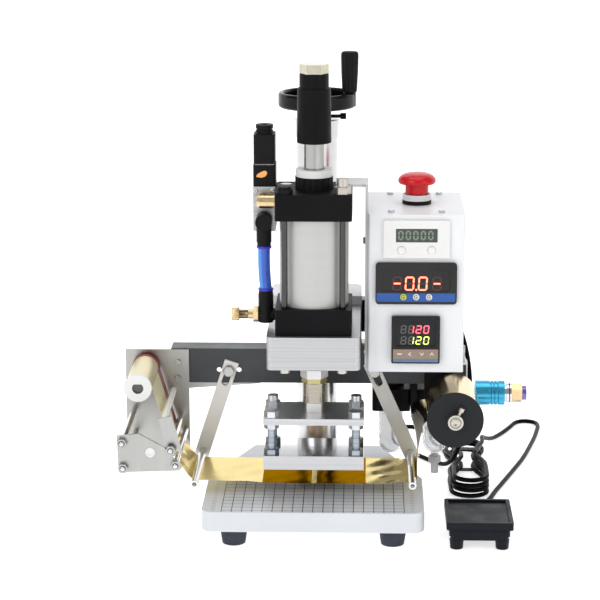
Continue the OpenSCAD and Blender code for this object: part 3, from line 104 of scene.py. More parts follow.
# %% [markdown]
# ## Mesh helpers
# Most small pieces here are made from rows of points: a tube is a row of rings along a path, a turned part is
# a row of rings round an axis. Blender's own primitives would each need moving and joining. One helper that
# joins such rows with quads does for all of them, and every piece that uses it is closed.

# %% Objects and rings


def add_object(name, bm, smooth=True):
    """Turn a bmesh into an object of the scene."""
    bmesh.ops.recalc_face_normals(bm, faces=bm.faces)
    mesh = bpy.data.meshes.new(name)
    bm.to_mesh(mesh)
    bm.free()
    if smooth:
        mesh.shade_smooth()
    else:
        mesh.shade_flat()
    obj = bpy.data.objects.new(name, mesh)
    bpy.context.scene.collection.objects.link(obj)
    return obj


def join_rings(bm, rings):
    """Bridge closed rings of points with quads and close the two ends."""
    rows = [[bm.verts.new(p) for p in ring] for ring in rings]
    for low, high in zip(rows, rows[1:]):
        for j in range(len(low)):
            k = (j + 1) % len(low)
            bm.faces.new((low[j], low[k], high[k], high[j]))
    bm.faces.new(rows[0][::-1])
    bm.faces.new(rows[-1])


print("helpers:", add_object.__name__, join_rings.__name__)

# %% Tubes along a path


def ring_frames(path):
    """Two directions across a path at each of its points, carried along without twist."""
    count = len(path)
    tangents = [(path[min(i + 1, count - 1)] - path[max(i - 1, 0)]).normalized() for i in range(count)]
    side = Vector((1, 0, 0)) if abs(tangents[0].x) < 0.9 else Vector((0, 0, 1))
    frames = []
    for t in tangents:
        side = (side - t * side.dot(t)).normalized()
        frames.append((side.copy(), t.cross(side)))
    return frames


def tube(name, path, radius, sides):
    """A round tube along a path."""
    bm = bmesh.new()
    angles = [math.tau * j / sides for j in range(sides)]
    rings = [
        [p + radius * (math.cos(a) * u + math.sin(a) * v) for a in angles]
        for p, (u, v) in zip(path, ring_frames(path))
    ]
    join_rings(bm, rings)
    return add_object(name, bm)


def smooth_path(points, steps):
    """A smooth curve that passes through all the points, as in the part's source."""
    path = []
    for i in range(len(points) - 1):
        a, b = points[max(i - 1, 0)], points[i]
        c, d = points[i + 1], points[min(i + 2, len(points) - 1)]
        for k in range(steps):
            t = k / steps
            curve = 2 * b + (c - a) * t + (2 * a - 5 * b + 4 * c - d) * t**2 + (3 * b - a - 3 * c + d) * t**3
            path.append(0.5 * curve)
    return path + [points[-1]]


print("helpers:", tube.__name__, smooth_path.__name__)

# %% Turned pieces and flat prisms


def turned_piece(name, foot, axis, profile, sides, flutes=0, depth=0.0):
    """Rings round an axis from foot. Each row of profile is a height, a radius and a share of the flutes."""
    along = Vector(axis).normalized()
    across = along.orthogonal().normalized()
    third = along.cross(across)
    bm = bmesh.new()
    rings = []
    for height, radius, share in profile:
        ring = []
        for j in range(sides):
            a = math.tau * j / sides
            groove = depth * share * (0.5 + 0.5 * math.cos(flutes * a)) ** 3
            outward = math.cos(a) * across + math.sin(a) * third
            ring.append(foot + MM * (height * along + (radius - groove) * outward))
        rings.append(ring)
    join_rings(bm, rings)
    return add_object(name, bm)


def add_prism(bm, outline, front, back, index=0):
    """A flat prism whose outline, in X and Z, faces the front: the way to draw on a panel."""
    rings = [[bm.verts.new(at(x, y, z)) for x, z in outline] for y in (front, back)]
    faces = [bm.faces.new(rings[0]), bm.faces.new(rings[1][::-1])]
    for j in range(len(outline)):
        k = (j + 1) % len(outline)
        faces.append(bm.faces.new((rings[0][j], rings[0][k], rings[1][k], rings[1][j])))
    for face in faces:
        face.material_index = index


def arc(x, z, radius, start=0.0, end=360.0, steps=24):
    """Points of an arc in X and Z, from one angle in degrees to another."""
    angles = [math.radians(start + (end - start) * i / steps) for i in range(steps + (end - start < 360))]
    return [(x + radius * math.cos(a), z + radius * math.sin(a)) for a in angles]


print("helpers:", turned_piece.__name__, add_prism.__name__, arc.__name__)

# %% [markdown]
# ## The pedal's cord
# A thin black cord leaves the control box at the back, drops to the bench, runs through a tied hank and goes
# on to the pedal. A bevelled curve would do, but a tube of rings shares its points with the declared route.
# It is one tube of one length, and its route repeats the points of the part's source.

# %% Cord route
CORD_R, CORD_SIDES, CORD_STEPS = 2.5, 12, 6
LAY_Z = CORD_R + 0.1
LEAD = [
    (135.4, 109.3, 214.5), (135.4, 115, 214.5), (136, 122, 213), (138.5, 128.5, 208), (143, 132.5, 198),
    (148, 133, 184), (153.4, 131, 166), (159, 129, 146), (163, 128.5, 122), (164, 130, 95), (160, 132, 64),
    (154.5, 137, 38), (148.5, 145, 19), (141, 157, 7.5), (131, 173, 3.3), (118, 192, 2.7), (104, 214, LAY_Z),
    (91, 242, LAY_Z), (84.5, 272, LAY_Z), (86, 296, LAY_Z), (91.2, 308.3, LAY_Z), (102.5, 313, LAY_Z),
    (113.8, 308.3, LAY_Z), (119, 296, LAY_Z), (123.5, 276, LAY_Z), (129, 250, LAY_Z), (135.5, 231, 2.9),
    (140.5, 218, 3.5), (141.8, 206, 3.9),
]
LOOP = [
    (182.65, 206, 20.7), (182.65, 213, 20.6), (184, 226, 17.5), (189, 242, 11), (197, 261, 5.2),
    (206, 281, 3), (214, 298, LAY_Z), (221, 314, LAY_Z), (226.5, 328, LAY_Z), (232, 336, LAY_Z),
    (240.5, 339, LAY_Z), (249, 336, LAY_Z), (253.5, 328, LAY_Z), (254, 316, LAY_Z), (251.5, 300, LAY_Z),
    (247.5, 278, LAY_Z), (241, 248, LAY_Z), (228, 195, LAY_Z), (212, 144, LAY_Z), (199, 104, LAY_Z),
    (190.5, 78, LAY_Z), (183.5, 54, LAY_Z), (175.5, 34, 3.2), (168, 17.5, 6.4), (164.8, 4, 11.4),
    (164.6, -6, 14.6), (164.6, -14.2, 15),
]
print("points by hand:", len(LEAD) + len(LOOP))

# %% Cord hank
HANK_X, HANK_FRONT, HANK_BACK = 163, 76, 206
WAIST_Y, WAIST_HALF, WAIST_PULL = 158, 46, 10
HANK_HALF, HANK_STEP, HANK_LAYER, HANK_LIFT = 15, 6.2, 5.6, 1.4
HANK_LOOPS, HANK_RINGS = 3.75, 48


def hank_point(s):
    """A point of the hank after s loops: long loops, one to a layer, drawn in at the tie."""
    turn = math.floor(s)
    f = s - turn
    half = HANK_HALF + HANK_STEP * (1 - f if turn % 2 == 0 else f)
    layer = 0 if turn == 0 else turn - 1 + min(f / 0.25, 1)
    run = 4 * f if f < 0.25 else 1 if f < 0.5 else 3 - 4 * f if f < 0.75 else 0
    y = HANK_BACK + (HANK_FRONT - HANK_BACK) * run
    away = abs(y - WAIST_Y) / WAIST_HALF
    pulled = half - (WAIST_PULL * math.cos(math.pi / 2 * away) ** 2 if away < 1 else 0)
    a = math.tau * 2 * (f - (0.25 if f < 0.5 else 0.75))
    if f < 0.25:
        x, bow = -pulled, 0
    elif f < 0.5:
        x, bow = -half * math.cos(a), -half * math.sin(a)
    elif f < 0.75:
        x, bow = pulled, 0
    else:
        x, bow = half * math.cos(a), half * math.sin(a)
    return at(HANK_X + x, y + bow, CORD_R + HANK_LIFT + layer * HANK_LAYER)


hank = [hank_point(i / HANK_RINGS) for i in range(1, int(HANK_LOOPS * HANK_RINGS))]
lead = smooth_path([at(*p) for p in LEAD], CORD_STEPS)
loop = smooth_path([at(*p) for p in LOOP], CORD_STEPS)
cord_path = lead + hank + loop
cord = tube("pedal_cord", cord_path, CORD_R * MM, CORD_SIDES)
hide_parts("cord_lead", "cord_hank", "cord_loop")
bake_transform(cord)

# %% [markdown]
# ## Shared surface effects
# Real paint, metal and moulded plastic are never one even value. Small node groups hold what repeats: a tone
# that drifts a little, gloss that varies where hands touch, and a fine grain or brushed line for bump. Two
# more mark out where something is printed: inside a box, and on ruled lines. The same nodes could be built in
# every material, but a group is made once and takes its own values in each. All of them give out only colours
# and values. The Principled shader stays in each material.

# %% Group helpers


def new_group(name, inputs, outputs):
    """A shader node group with named sockets: (name, kind, default) for each input."""
    group = bpy.data.node_groups.new(name, "ShaderNodeTree")
    for label, kind, value in inputs:
        socket = group.interface.new_socket(label, in_out="INPUT", socket_type=kind)
        socket.default_value = value
    for label, kind in outputs:
        group.interface.new_socket(label, in_out="OUTPUT", socket_type=kind)
    entry = group.nodes.new("NodeGroupInput")
    leave = group.nodes.new("NodeGroupOutput")
    return group, entry, leave


def stretched_noise(group, entry, detail):
    """Noise in object space, stretched by the group's Stretch input and sized by its Scale input."""
    place = group.nodes.new("ShaderNodeTexCoord")
    stretch = group.nodes.new("ShaderNodeVectorMath")
    stretch.operation = "MULTIPLY"
    noise = group.nodes.new("ShaderNodeTexNoise")
    noise.inputs["Detail"].default_value = detail
    group.links.new(place.outputs["Object"], stretch.inputs[0])
    group.links.new(entry.outputs["Stretch"], stretch.inputs[1])
    group.links.new(stretch.outputs[0], noise.inputs["Vector"])
    group.links.new(entry.outputs["Scale"], noise.inputs["Scale"])
    return noise


def chain(group, kind, operation, first, second):
    """A maths node with two inputs, each a socket to link or a plain value."""
    node = group.nodes.new(kind)
    node.operation = operation
    for socket, value in zip(node.inputs, (first, second)):
        if isinstance(value, bpy.types.NodeSocket):
            group.links.new(value, socket)
        else:
            socket.default_value = value
    return node.outputs["Value"] if kind == "ShaderNodeMath" else node.outputs["Vector"]


print("helpers:", new_group.__name__, stretched_noise.__name__, chain.__name__)

# %% Tone, gloss and grain
NOISE_INPUTS = [("Scale", "NodeSocketFloat", 40.0), ("Stretch", "NodeSocketVector", (1, 1, 1))]

tone_group, entry, leave = new_group(
    "drifting_tone",
    NOISE_INPUTS + [("Colour", "NodeSocketColor", (1, 1, 1, 1)), ("Amount", "NodeSocketFloat", 0.1)],
    [("Colour", "NodeSocketColor")],
)
noise = stretched_noise(tone_group, entry, 4.0)
shade = tone_group.nodes.new("ShaderNodeMapRange")
shade.inputs["From Min"].default_value = 0.3
shade.inputs["From Max"].default_value = 0.7
low = tone_group.nodes.new("ShaderNodeMath")
low.operation = "SUBTRACT"
low.inputs[0].default_value = 1.0
dim = tone_group.nodes.new("ShaderNodeVectorMath")
dim.operation = "SCALE"
tone_group.links.new(noise.outputs["Fac"], shade.inputs["Value"])
tone_group.links.new(entry.outputs["Amount"], low.inputs[1])
tone_group.links.new(low.outputs[0], shade.inputs["To Min"])
tone_group.links.new(entry.outputs["Colour"], dim.inputs[0])
tone_group.links.new(shade.outputs["Result"], dim.inputs["Scale"])
tone_group.links.new(dim.outputs[0], leave.inputs["Colour"])

gloss_group, entry, leave = new_group(
    "handled_gloss",
    NOISE_INPUTS + [("Low", "NodeSocketFloat", 0.3), ("High", "NodeSocketFloat", 0.5)],
    [("Roughness", "NodeSocketFloat")],
)
noise = stretched_noise(gloss_group, entry, 6.0)
spread = gloss_group.nodes.new("ShaderNodeMapRange")
spread.inputs["From Min"].default_value = 0.35
spread.inputs["From Max"].default_value = 0.65
gloss_group.links.new(noise.outputs["Fac"], spread.inputs["Value"])
gloss_group.links.new(entry.outputs["Low"], spread.inputs["To Min"])
gloss_group.links.new(entry.outputs["High"], spread.inputs["To Max"])
gloss_group.links.new(spread.outputs["Result"], leave.inputs["Roughness"])

grain_group, entry, leave = new_group("fine_grain", NOISE_INPUTS, [("Height", "NodeSocketFloat")])
noise = stretched_noise(grain_group, entry, 3.0)
grain_group.links.new(noise.outputs["Fac"], leave.inputs["Height"])

print("groups:", [g.name for g in (tone_group, gloss_group, grain_group)])

# %% Masks for print
# Inside a box: 1 where the surface lies between two corners in the frame's metres
box_group, entry, leave = new_group(
    "inside_box",
    [("Low", "NodeSocketVector", (-1, -1, -1)), ("High", "NodeSocketVector", (1, 1, 1))],
    [("Mask", "NodeSocketFloat")],
)
place = box_group.nodes.new("ShaderNodeTexCoord").outputs["Object"]
above = chain(box_group, "ShaderNodeVectorMath", "SUBTRACT", place, entry.outputs["Low"])
below = chain(box_group, "ShaderNodeVectorMath", "SUBTRACT", entry.outputs["High"], place)
least = chain(box_group, "ShaderNodeVectorMath", "MINIMUM", above, below)
parts = box_group.nodes.new("ShaderNodeSeparateXYZ")
box_group.links.new(least, parts.inputs[0])
least = chain(box_group, "ShaderNodeMath", "MINIMUM", parts.outputs[0], parts.outputs[1])
least = chain(box_group, "ShaderNodeMath", "MINIMUM", least, parts.outputs[2])
box_group.links.new(chain(box_group, "ShaderNodeMath", "GREATER_THAN", least, 0.0), leave.inputs["Mask"])

# Ruled lines: 1 on thin lines at an even pitch across one direction
rule_group, entry, leave = new_group(
    "ruled_lines",
    [
        ("Direction", "NodeSocketVector", (1, 0, 0)), ("Offset", "NodeSocketFloat", 0.0),
        ("Pitch", "NodeSocketFloat", 0.01), ("Width", "NodeSocketFloat", 0.0005),
    ],
    [("Mask", "NodeSocketFloat")],
)
place = rule_group.nodes.new("ShaderNodeTexCoord").outputs["Object"]
reach = rule_group.nodes.new("ShaderNodeVectorMath")
reach.operation = "DOT_PRODUCT"
rule_group.links.new(place, reach.inputs[0])
rule_group.links.new(entry.outputs["Direction"], reach.inputs[1])
moved = chain(rule_group, "ShaderNodeMath", "SUBTRACT", reach.outputs["Value"], entry.outputs["Offset"])
half_pitch = chain(rule_group, "ShaderNodeMath", "MULTIPLY", entry.outputs["Pitch"], 0.5)
wave = chain(rule_group, "ShaderNodeMath", "PINGPONG", moved, half_pitch)
half = chain(rule_group, "ShaderNodeMath", "MULTIPLY", entry.outputs["Width"], 0.5)
rule_group.links.new(chain(rule_group, "ShaderNodeMath", "LESS_THAN", wave, half), leave.inputs["Mask"])
print("masks:", [g.name for g in (box_group, rule_group)])

# %% [markdown]
# ## A finish
# A finish is what a workshop does to a surface: paint, plating, milling, moulding. Each could be a material
# wired by hand, but they differ only in colour, gloss and grain, so one function makes them all. Stretching
# the grain along one axis turns it into brush marks. Numbers that are even over the surface go straight on
# the shader's sockets.

# %% Finish function
COAT_ROUGHNESS, GRAIN_DEPTH = 0.08, 0.0002


def use_group(material, group, **values):
    """Place a node group in a material, with its own values."""
    node = material.node_tree.nodes.new("ShaderNodeGroup")
    node.node_tree = group
    for label, value in values.items():
        node.inputs[label].default_value = value
    return node


def finish(
    name, colour, gloss=(0.35, 0.5), metallic=0.0, tone=0.06, tone_scale=25.0, grain=0.0, grain_scale=900.0,
    stretch=(1, 1, 1), coat=0.0, specular=0.5, tint=(1, 1, 1), marks=(),
):
    """A material whose colour drifts, whose gloss varies and whose surface has a grain. Each mark is a low
    and a high corner in drawing millimetres, a colour, and the ruled lines inside that box, if any."""
    material = bpy.data.materials.new(name)
    material.use_nodes = True
    tree = material.node_tree
    shader = tree.nodes["Principled BSDF"]
    shader.inputs["Metallic"].default_value = metallic
    shader.inputs["Coat Weight"].default_value = coat
    shader.inputs["Coat Roughness"].default_value = COAT_ROUGHNESS
    shader.inputs["Specular IOR Level"].default_value = specular
    shader.inputs["Specular Tint"].default_value = (*tint, 1)
    paint = (*colour, 1)
    base = use_group(material, tone_group, Scale=tone_scale, Stretch=stretch, Colour=paint, Amount=tone)
    painted = base.outputs["Colour"]
    for low, high, ink, *ruled in marks:
        mask = use_group(material, box_group, Low=at(*low), High=at(*high)).outputs["Mask"]
        for direction, offset, pitch, width in ruled:
            lines = use_group(
                material, rule_group,
                Direction=direction, Offset=offset * MM, Pitch=pitch * MM, Width=width * MM,
            )
            mask = chain(tree, "ShaderNodeMath", "MULTIPLY", mask, lines.outputs["Mask"])
        mix = tree.nodes.new("ShaderNodeMix")
        mix.data_type = "RGBA"
        tree.links.new(mask, mix.inputs["Factor"])
        tree.links.new(painted, mix.inputs["A"])
        mix.inputs["B"].default_value = (*ink, 1)
        painted = mix.outputs["Result"]
    tree.links.new(painted, shader.inputs["Base Color"])
    low, high = gloss
    rough = use_group(material, gloss_group, Scale=tone_scale * 3, Stretch=stretch, Low=low, High=high)
    tree.links.new(rough.outputs["Roughness"], shader.inputs["Roughness"])
    if grain:
        height = use_group(material, grain_group, Scale=grain_scale, Stretch=stretch)
        bump = tree.nodes.new("ShaderNodeBump")
        bump.inputs["Strength"].default_value = grain
        bump.inputs["Distance"].default_value = GRAIN_DEPTH
        tree.links.new(height.outputs["Height"], bump.inputs["Height"])
        tree.links.new(bump.outputs["Normal"], shader.inputs["Normal"])
    return material


def glowing(name, colour, strength):
    """A lit lamp or display segment: an even colour that gives out its own light."""
    material = bpy.data.materials.new(name)
    material.use_nodes = True
    shader = material.node_tree.nodes["Principled BSDF"]
    shader.inputs["Base Color"].default_value = (*colour, 1)
    shader.inputs["Roughness"].default_value = 0.3
    shader.inputs["Emission Color"].default_value = (*colour, 1)
    shader.inputs["Emission Strength"].default_value = strength
    return material


print("helpers:", finish.__name__, glowing.__name__)

# %% [markdown]
# ## The machine's finishes
# Silver paint, white powder coat, milled and anodised aluminium, zinc-plated sheet, hard chrome, brass, gold
# foil, rubber and several plastics. Turned pieces are brushed round their axis and milled ones along their
# length. A finish takes a colour, a range of gloss, metalness, then the drift of its tone and the size of
# that drift, then the strength and the size of its grain, and how the noise is stretched. The foil has four
# golds, because film that hangs slack, lies in shade or turns away looks unlike film pulled flat.

# %% Metals
milled = finish(
    "milled_aluminium", (0.52, 0.525, 0.54), (0.34, 0.46), 1.0, 0.22, 20, 0.06, 200, (0.15, 30, 30)
)
plate_edge = finish(
    "milled_edge", (0.55, 0.555, 0.57), (0.34, 0.46), 1.0, 0.12, 20, 0.04, 200, (0.15, 30, 30)
)
polished = finish("polished_plate", (0.8, 0.8, 0.815), (0.07, 0.13), 1.0, 0.06, 12, stretch=(0.2, 8, 8))
half_polished = finish(
    "half_polished_plate", (0.93, 0.94, 0.945), (0.33, 0.37), 1.0, 0.06, 12, stretch=(0.2, 8, 8)
)
turned = finish("turned_nickel", (0.54, 0.51, 0.455), (0.28, 0.36), 1.0, 0.1, 30, stretch=(0.1, 0.1, 25))
coupler_nickel = finish(
    "coupler_nickel", (0.37, 0.345, 0.29), (0.22, 0.3), 1.0, 0.1, 30, stretch=(0.1, 0.1, 25)
)
lock_nut = finish("lock_nut_flats", (0.74, 0.74, 0.755), (0.42, 0.5), 0.6, 0.06, 40)
yellow_zinc = finish("yellow_zinc", (0.5, 0.43, 0.2), (0.3, 0.4), 0.9, 0.1, 40)
chrome = finish("hard_chrome", (0.66, 0.665, 0.67), (0.07, 0.13), 1.0, 0.04, 10)
rod_chrome = finish(
    "piston_rod_chrome", (0.42, 0.42, 0.41), (0.12, 0.2), 1.0, 0.35, 14, stretch=(8, 8, 0.1)
)
satin = finish("satin_column", (0.62, 0.62, 0.63), (0.2, 0.27), 1.0, 0.05, 10, stretch=(0.1, 0.1, 12))
zinc_sheet = finish(
    "zinc_plated_sheet", (0.41, 0.408, 0.397), (0.28, 0.36), 1.0, 0.07, 8, stretch=(9, 1, 1)
)
strut_zinc = finish("zinc_strut", (0.84, 0.83, 0.8), (0.42, 0.5), 0.2, 0.05, 10, stretch=(9, 1, 1))
bolt = finish("zinc_bolt", (0.66, 0.68, 0.71), (0.3, 0.42), 1.0, 0.16, 60)
thread = finish("stud_thread", (0.4, 0.45, 0.51), (0.3, 0.4), 1.0, 0.5, 30, stretch=(0.1, 0.1, 20))
nickel = finish("nickel_nut", (0.62, 0.59, 0.47), (0.2, 0.28), 1.0, 0.15, 40)
nut_zinc = finish("zinc_nut", (0.42, 0.42, 0.41), (0.22, 0.32), 1.0, 0.16, 60)
honed = finish("honed_barrel", (0.48, 0.48, 0.47), (0.34, 0.42), 0.3, 0.04, 8, 0.05, 300, (1, 1, 22))
tie_rod = finish("dark_tie_rod", (0.07, 0.07, 0.068), (0.16, 0.24), 1.0, 0.08, 20)
# Painted shade: a dark grey for holes, grooves and thread gaps, where shade falls
painted_hollow_shade = finish("painted_shade_in_hollows", (0.1, 0.095, 0.085), (0.3, 0.4), 0.6, 0.1, 60)
brass = finish("turned_brass", (0.72, 0.55, 0.31), (0.22, 0.34), 1.0, 0.14, 30, 0.03, 300)
gold = finish(
    "gold_foil", (0.82, 0.7, 0.38), (0.18, 0.28), 0.85, 0.06, 14, 0.04, 90, (1, 0.35, 1), tint=(1, 0.88, 0.6)
)
pale_gold = finish(
    "slack_gold_foil", (0.76, 0.68, 0.42), (0.34, 0.44), 0.35, 0.05, 14, 0.04, 90, (1, 0.35, 1)
)
deep_gold = finish(
    "shaded_gold_foil", (0.27, 0.175, 0.03), (0.12, 0.2), 1.0, 0.15, 18, 0.04, 90, (1, 0.35, 1),
    tint=(0.6, 0.4, 0.12),
)
dark_gold = finish("foil_turned_away", (0.06, 0.04, 0.012), (0.12, 0.2), 0.9, 0.3, 30, 0.06, 120)
roll_gold = finish("wound_gold_foil", (0.7, 0.62, 0.38), (0.3, 0.4), 0.7, 0.05, 14, 0.02, 200, (1, 0.1, 1))
takeup_gold = finish("taken_up_foil", (0.8, 0.64, 0.37), (0.14, 0.2), 1.0, 0.06, 14, stretch=(1, 0.1, 1))
foil_edge = finish("foil_edge", (0.3, 0.016, 0.012), (0.3, 0.4), 0.0, 0.2, 40)
blue_anodised = finish("blue_anodised", (0.06, 0.43, 0.68), (0.24, 0.28), 0.75, 0.05, 20)
violet_anodised = finish("violet_anodised", (0.2, 0.16, 0.48), (0.2, 0.3), 0.7, 0.08, 20)
fitting = finish(
    "nickel_fitting", (0.75, 0.75, 0.76), (0.1, 0.18), 1.0, 0.05, 30,
    marks=[((202.2, 60, 90), (203.4, 100, 130), (0.2, 0.02, 0.015))],
)
print("metals:", len(bpy.data.materials))

# %% Paints and rubber
TABLE_LOW, TABLE_HIGH, TABLE_FRONT, TABLE_BACK = 39.8, 41, -104, 60
RULE_LOW, RULE_HIGH = (-90.4, TABLE_FRONT, TABLE_LOW), (90.4, TABLE_BACK, TABLE_HIGH)
SCALE_INK, SCALE_LINES = (0.07, 0.08, 0.1), ((0, 1, 0), -17.5, 5, 0.7)
silver_paint = finish(
    "silver_paint", (0.63, 0.65, 0.685), (0.3, 0.42), 0.1, 0.05, 12, 0.1, 1500,
    marks=[
        (RULE_LOW, RULE_HIGH, (0.2, 0.22, 0.26), ((0, 1, 0), -ORIGIN_Y, 10, 1.1)),
        (RULE_LOW, RULE_HIGH, (0.02, 0.025, 0.035), ((1, 0, 0), -ORIGIN_X, 10, 0.8)),
        ((-100.5, TABLE_FRONT, TABLE_LOW), (-96.5, TABLE_BACK, TABLE_HIGH), SCALE_INK, SCALE_LINES),
        ((96.5, TABLE_FRONT, TABLE_LOW), (100.5, TABLE_BACK, TABLE_HIGH), SCALE_INK, SCALE_LINES),
    ],
)
white_paint = finish("white_powder_coat", (0.75, 0.76, 0.78), (0.34, 0.44), 0.0, 0.03, 9, 0.16, 700)
grey_paint = finish("light_grey_paint", (0.58, 0.585, 0.59), (0.4, 0.5), 0.0, 0.04, 12, 0.1, 900)
dark_paint = finish(
    "dark_grey_paint", (0.05, 0.056, 0.063), (0.34, 0.46), 0.0, 0.12, 14, 0.12, 900, specular=0.4
)
black_anodised = finish(
    "black_anodised", (0.006, 0.006, 0.007), (0.4, 0.52), 0.0, 0.2, 20, 0.06, 1400, specular=0.08
)
rubber = finish("moulded_rubber", (0.034, 0.038, 0.055), (0.6, 0.75), 0.0, 0.2, 40, 0.3, 900, specular=0.3)
cord_skin = finish(
    "cord_sheath", (0.004, 0.004, 0.004), (0.26, 0.34), 0.0, 0.2, 60, 0.06, 1200, specular=0.05
)
print("metals and paints:", len(bpy.data.materials))

# %% Plastics, glass and light
matte_black = finish(
    "matte_black_moulding", (0.008, 0.008, 0.009), (0.42, 0.55), 0.0, 0.2, 30, 0.15, 1500, specular=0.12
)
disc_black = finish(
    "reel_disc_moulding", (0.021, 0.023, 0.025), (0.5, 0.62), 0.0, 0.1, 20, 0.1, 1500, specular=0.12
)
gloss_black = finish(
    "gloss_black_moulding", (0.004, 0.004, 0.005), (0.16, 0.24), 0.0, 0.2, 18, specular=0.18
)
pedal_grey = finish(
    "pedal_moulding", (0.006, 0.008, 0.012), (0.34, 0.46), 0.0, 0.15, 18, 0.3, 900, specular=0.15
)
white_plastic = finish("white_moulding", (0.73, 0.73, 0.72), (0.3, 0.4), 0.0, 0.03, 16, 0.08, 1600)
yellow_plastic = finish("yellow_key", (0.6, 0.64, 0.06), (0.25, 0.35), 0.0, 0.05, 30)
red_plastic = finish("red_mushroom", (0.58, 0.006, 0.012), (0.22, 0.32), 0.0, 0.06, 20, specular=0.3)
blue_hose = finish("blue_tube", (0.012, 0.085, 0.52), (0.16, 0.24), 0.0, 0.08, 30, coat=0.4)
# The hose's lit side: a lighter copy of its blue, painted light
painted_lit_hose = finish("blue_tube_painted_lit_side", (0.02, 0.24, 0.72), (0.16, 0.24), 0.0, 0.08, 30, coat=0.4)
release_ring = finish("release_ring", (0.03, 0.025, 0.5), (0.25, 0.35), 0.0, 0.1, 30)
timer_face = finish(
    "timer_face", (0.006, 0.006, 0.007), (0.16, 0.26), 0.0, 0.2, 18, specular=0.35,
    marks=[((61.8, -40, 237.4), (139.3, -38.6, 246.0), (0.015, 0.085, 0.33))],
)
controller_face = finish(
    "controller_face", (0.008, 0.008, 0.009), (0.36, 0.48), 0.0, 0.2, 30, 0.1, 1500, specular=0.3,
    marks=[
        ((78.4, -42, 179.7), (123.2, -40.6, 189.3), (0.27, 0.2, 0.15)),
        ((78.4, -42, 176.2), (123.2, -40.6, 179.7), (0.12, 0.17, 0.28)),
    ],
)
lcd_glass = finish("lcd_glass", (0.035, 0.05, 0.04), (0.1, 0.16), 0.0, 0.05, 20)
lcd_ink = finish("lcd_digits", (0.2, 0.25, 0.2), (0.3, 0.4), 0.0, 0.02, 20)
dark_ink = finish("dark_print", (0.012, 0.014, 0.02), (0.4, 0.5), 0.0, 0.0)
pale_ink = finish("pale_print", (0.7, 0.7, 0.7), (0.4, 0.5), 0.0, 0.0)
unlit_red = finish("unlit_red_segment", (0.05, 0.012, 0.01), (0.3, 0.4), 0.0, 0.0)
unlit_grey = finish("unlit_grey_segment", (0.1, 0.1, 0.1), (0.3, 0.4), 0.0, 0.0)
lit_red = glowing("lit_red_segment", (1.0, 0.09, 0.13), 2.0)
lit_orange = glowing("lit_orange_segment", (1.0, 0.2, 0.11), 2.6)
lit_green = glowing("lit_green_segment", (0.62, 0.82, 0.14), 1.3)
lamp_orange = glowing("orange_lamp", (0.8, 0.33, 0.08), 0.3)
clear = finish("clear_bowl", (0.93, 0.94, 0.95), (0.08, 0.14), 0.0, 0.02, 20)
clear_shader = clear.node_tree.nodes["Principled BSDF"]
clear_shader.inputs["Transmission Weight"].default_value = 0.75
clear_shader.inputs["IOR"].default_value = 1.12
drain_grey = finish("drain_moulding", (0.46, 0.47, 0.48), (0.3, 0.4), 0.0, 0.15, 60)
cord.data.materials.append(cord_skin)
print("all finishes:", len(bpy.data.materials))

# %% [markdown]
# ## Softened edges
# CAD edges are perfectly sharp and catch no light, while a machined or moulded edge always has a small round.
# Each rigid node is copied, its flat faces are joined back from triangles, and a bevel with weighted normals
# rounds its edges. A bevel made by hand on every edge would take far longer. The copy stands for the node and
# rides the same body. Where one node holds several finishes, such as screws and nuts, the place of a face
# picks its finish.

# %% Dressing helpers
WELD, FLAT_ANGLE, BEVEL_ANGLE = 1e-6, math.radians(0.4), math.radians(40)
NODE_BODY = {n: b for b, group in frame["record"]["behaviour"]["bodies"].items() for n in group}


def dress(node, *finishes, edge=0.4, pick=None):
    """Copy a CAD node with rounded edges. pick(x, y, z) in drawing millimetres gives a face's finish."""
    bm = bmesh.new()
    bm.from_mesh(NODES[node].data)
    bmesh.ops.remove_doubles(bm, verts=bm.verts, dist=WELD)
    bmesh.ops.dissolve_limit(bm, angle_limit=FLAT_ANGLE, verts=bm.verts, edges=bm.edges)
    if pick:
        for face in bm.faces:
            c = face.calc_center_median() / MM
            face.material_index = pick(c.x + ORIGIN_X, c.y + ORIGIN_Y, c.z)
    piece = add_object(f"{node}_piece", bm)
    for material in finishes:
        piece.data.materials.append(material)
    bevel = piece.modifiers.new("edge", "BEVEL")
    bevel.width = edge * MM
    bevel.segments = 2
    bevel.limit_method = "ANGLE"
    bevel.angle_limit = BEVEL_ANGLE
    bevel.use_clamp_overlap = True
    piece.modifiers.new("normals", "WEIGHTED_NORMAL").keep_sharp = True
    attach(piece, NODE_BODY[node])
    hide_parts(node)
    return piece


def dressed_count():
    """How many CAD nodes have their dressed copy so far."""
    return sum(piece.name.endswith("_piece") for piece in bpy.data.objects)


# %% Borders between finishes
HUB_X, HUB_Z = -175.4, 150.3
HOLE_FRONT, HOLE_BACK, HOLE_R = -51.9, -49, 5.6
TIE_HALF, TIE_LOW, TIE_HIGH = 35, 200, 349
LID_LEFT, LID_LOW = 50, 300
FRAME_SIDE, FRAME_BACK, FRAME_TOP = 55, 40, 162
TOP_NUT_LOW, RAM_NUT_LOW, LOCK_NUT_LOW = 400, 150, 158.9
STUD_LOW, STUD_HIGH = 84, 106
FLAT_TOP, FLAT_AWAY, FLAT_HALF = 134, 8.5, 4
RIM_AWAY, RIM_SIDE = 25, 45


def recessed(x, y, z):
    """Whether a place lies in the D-shaped hole of the supply hub."""
    return HOLE_FRONT < y < HOLE_BACK and math.hypot(x - HUB_X, z - HUB_Z) < HOLE_R


def head_fastener(x, y, z):
    """Which finish a fastener of the head has: tie rods, lid screws, nuts on the foil frame, and the rest."""
    if abs(x) < TIE_HALF and TIE_LOW < z < TIE_HIGH:
        return 2
    if x > LID_LEFT and z > LID_LOW:
        return 3
    return 1 if y < FRAME_BACK and z < FRAME_TOP and abs(x) > FRAME_SIDE else 0


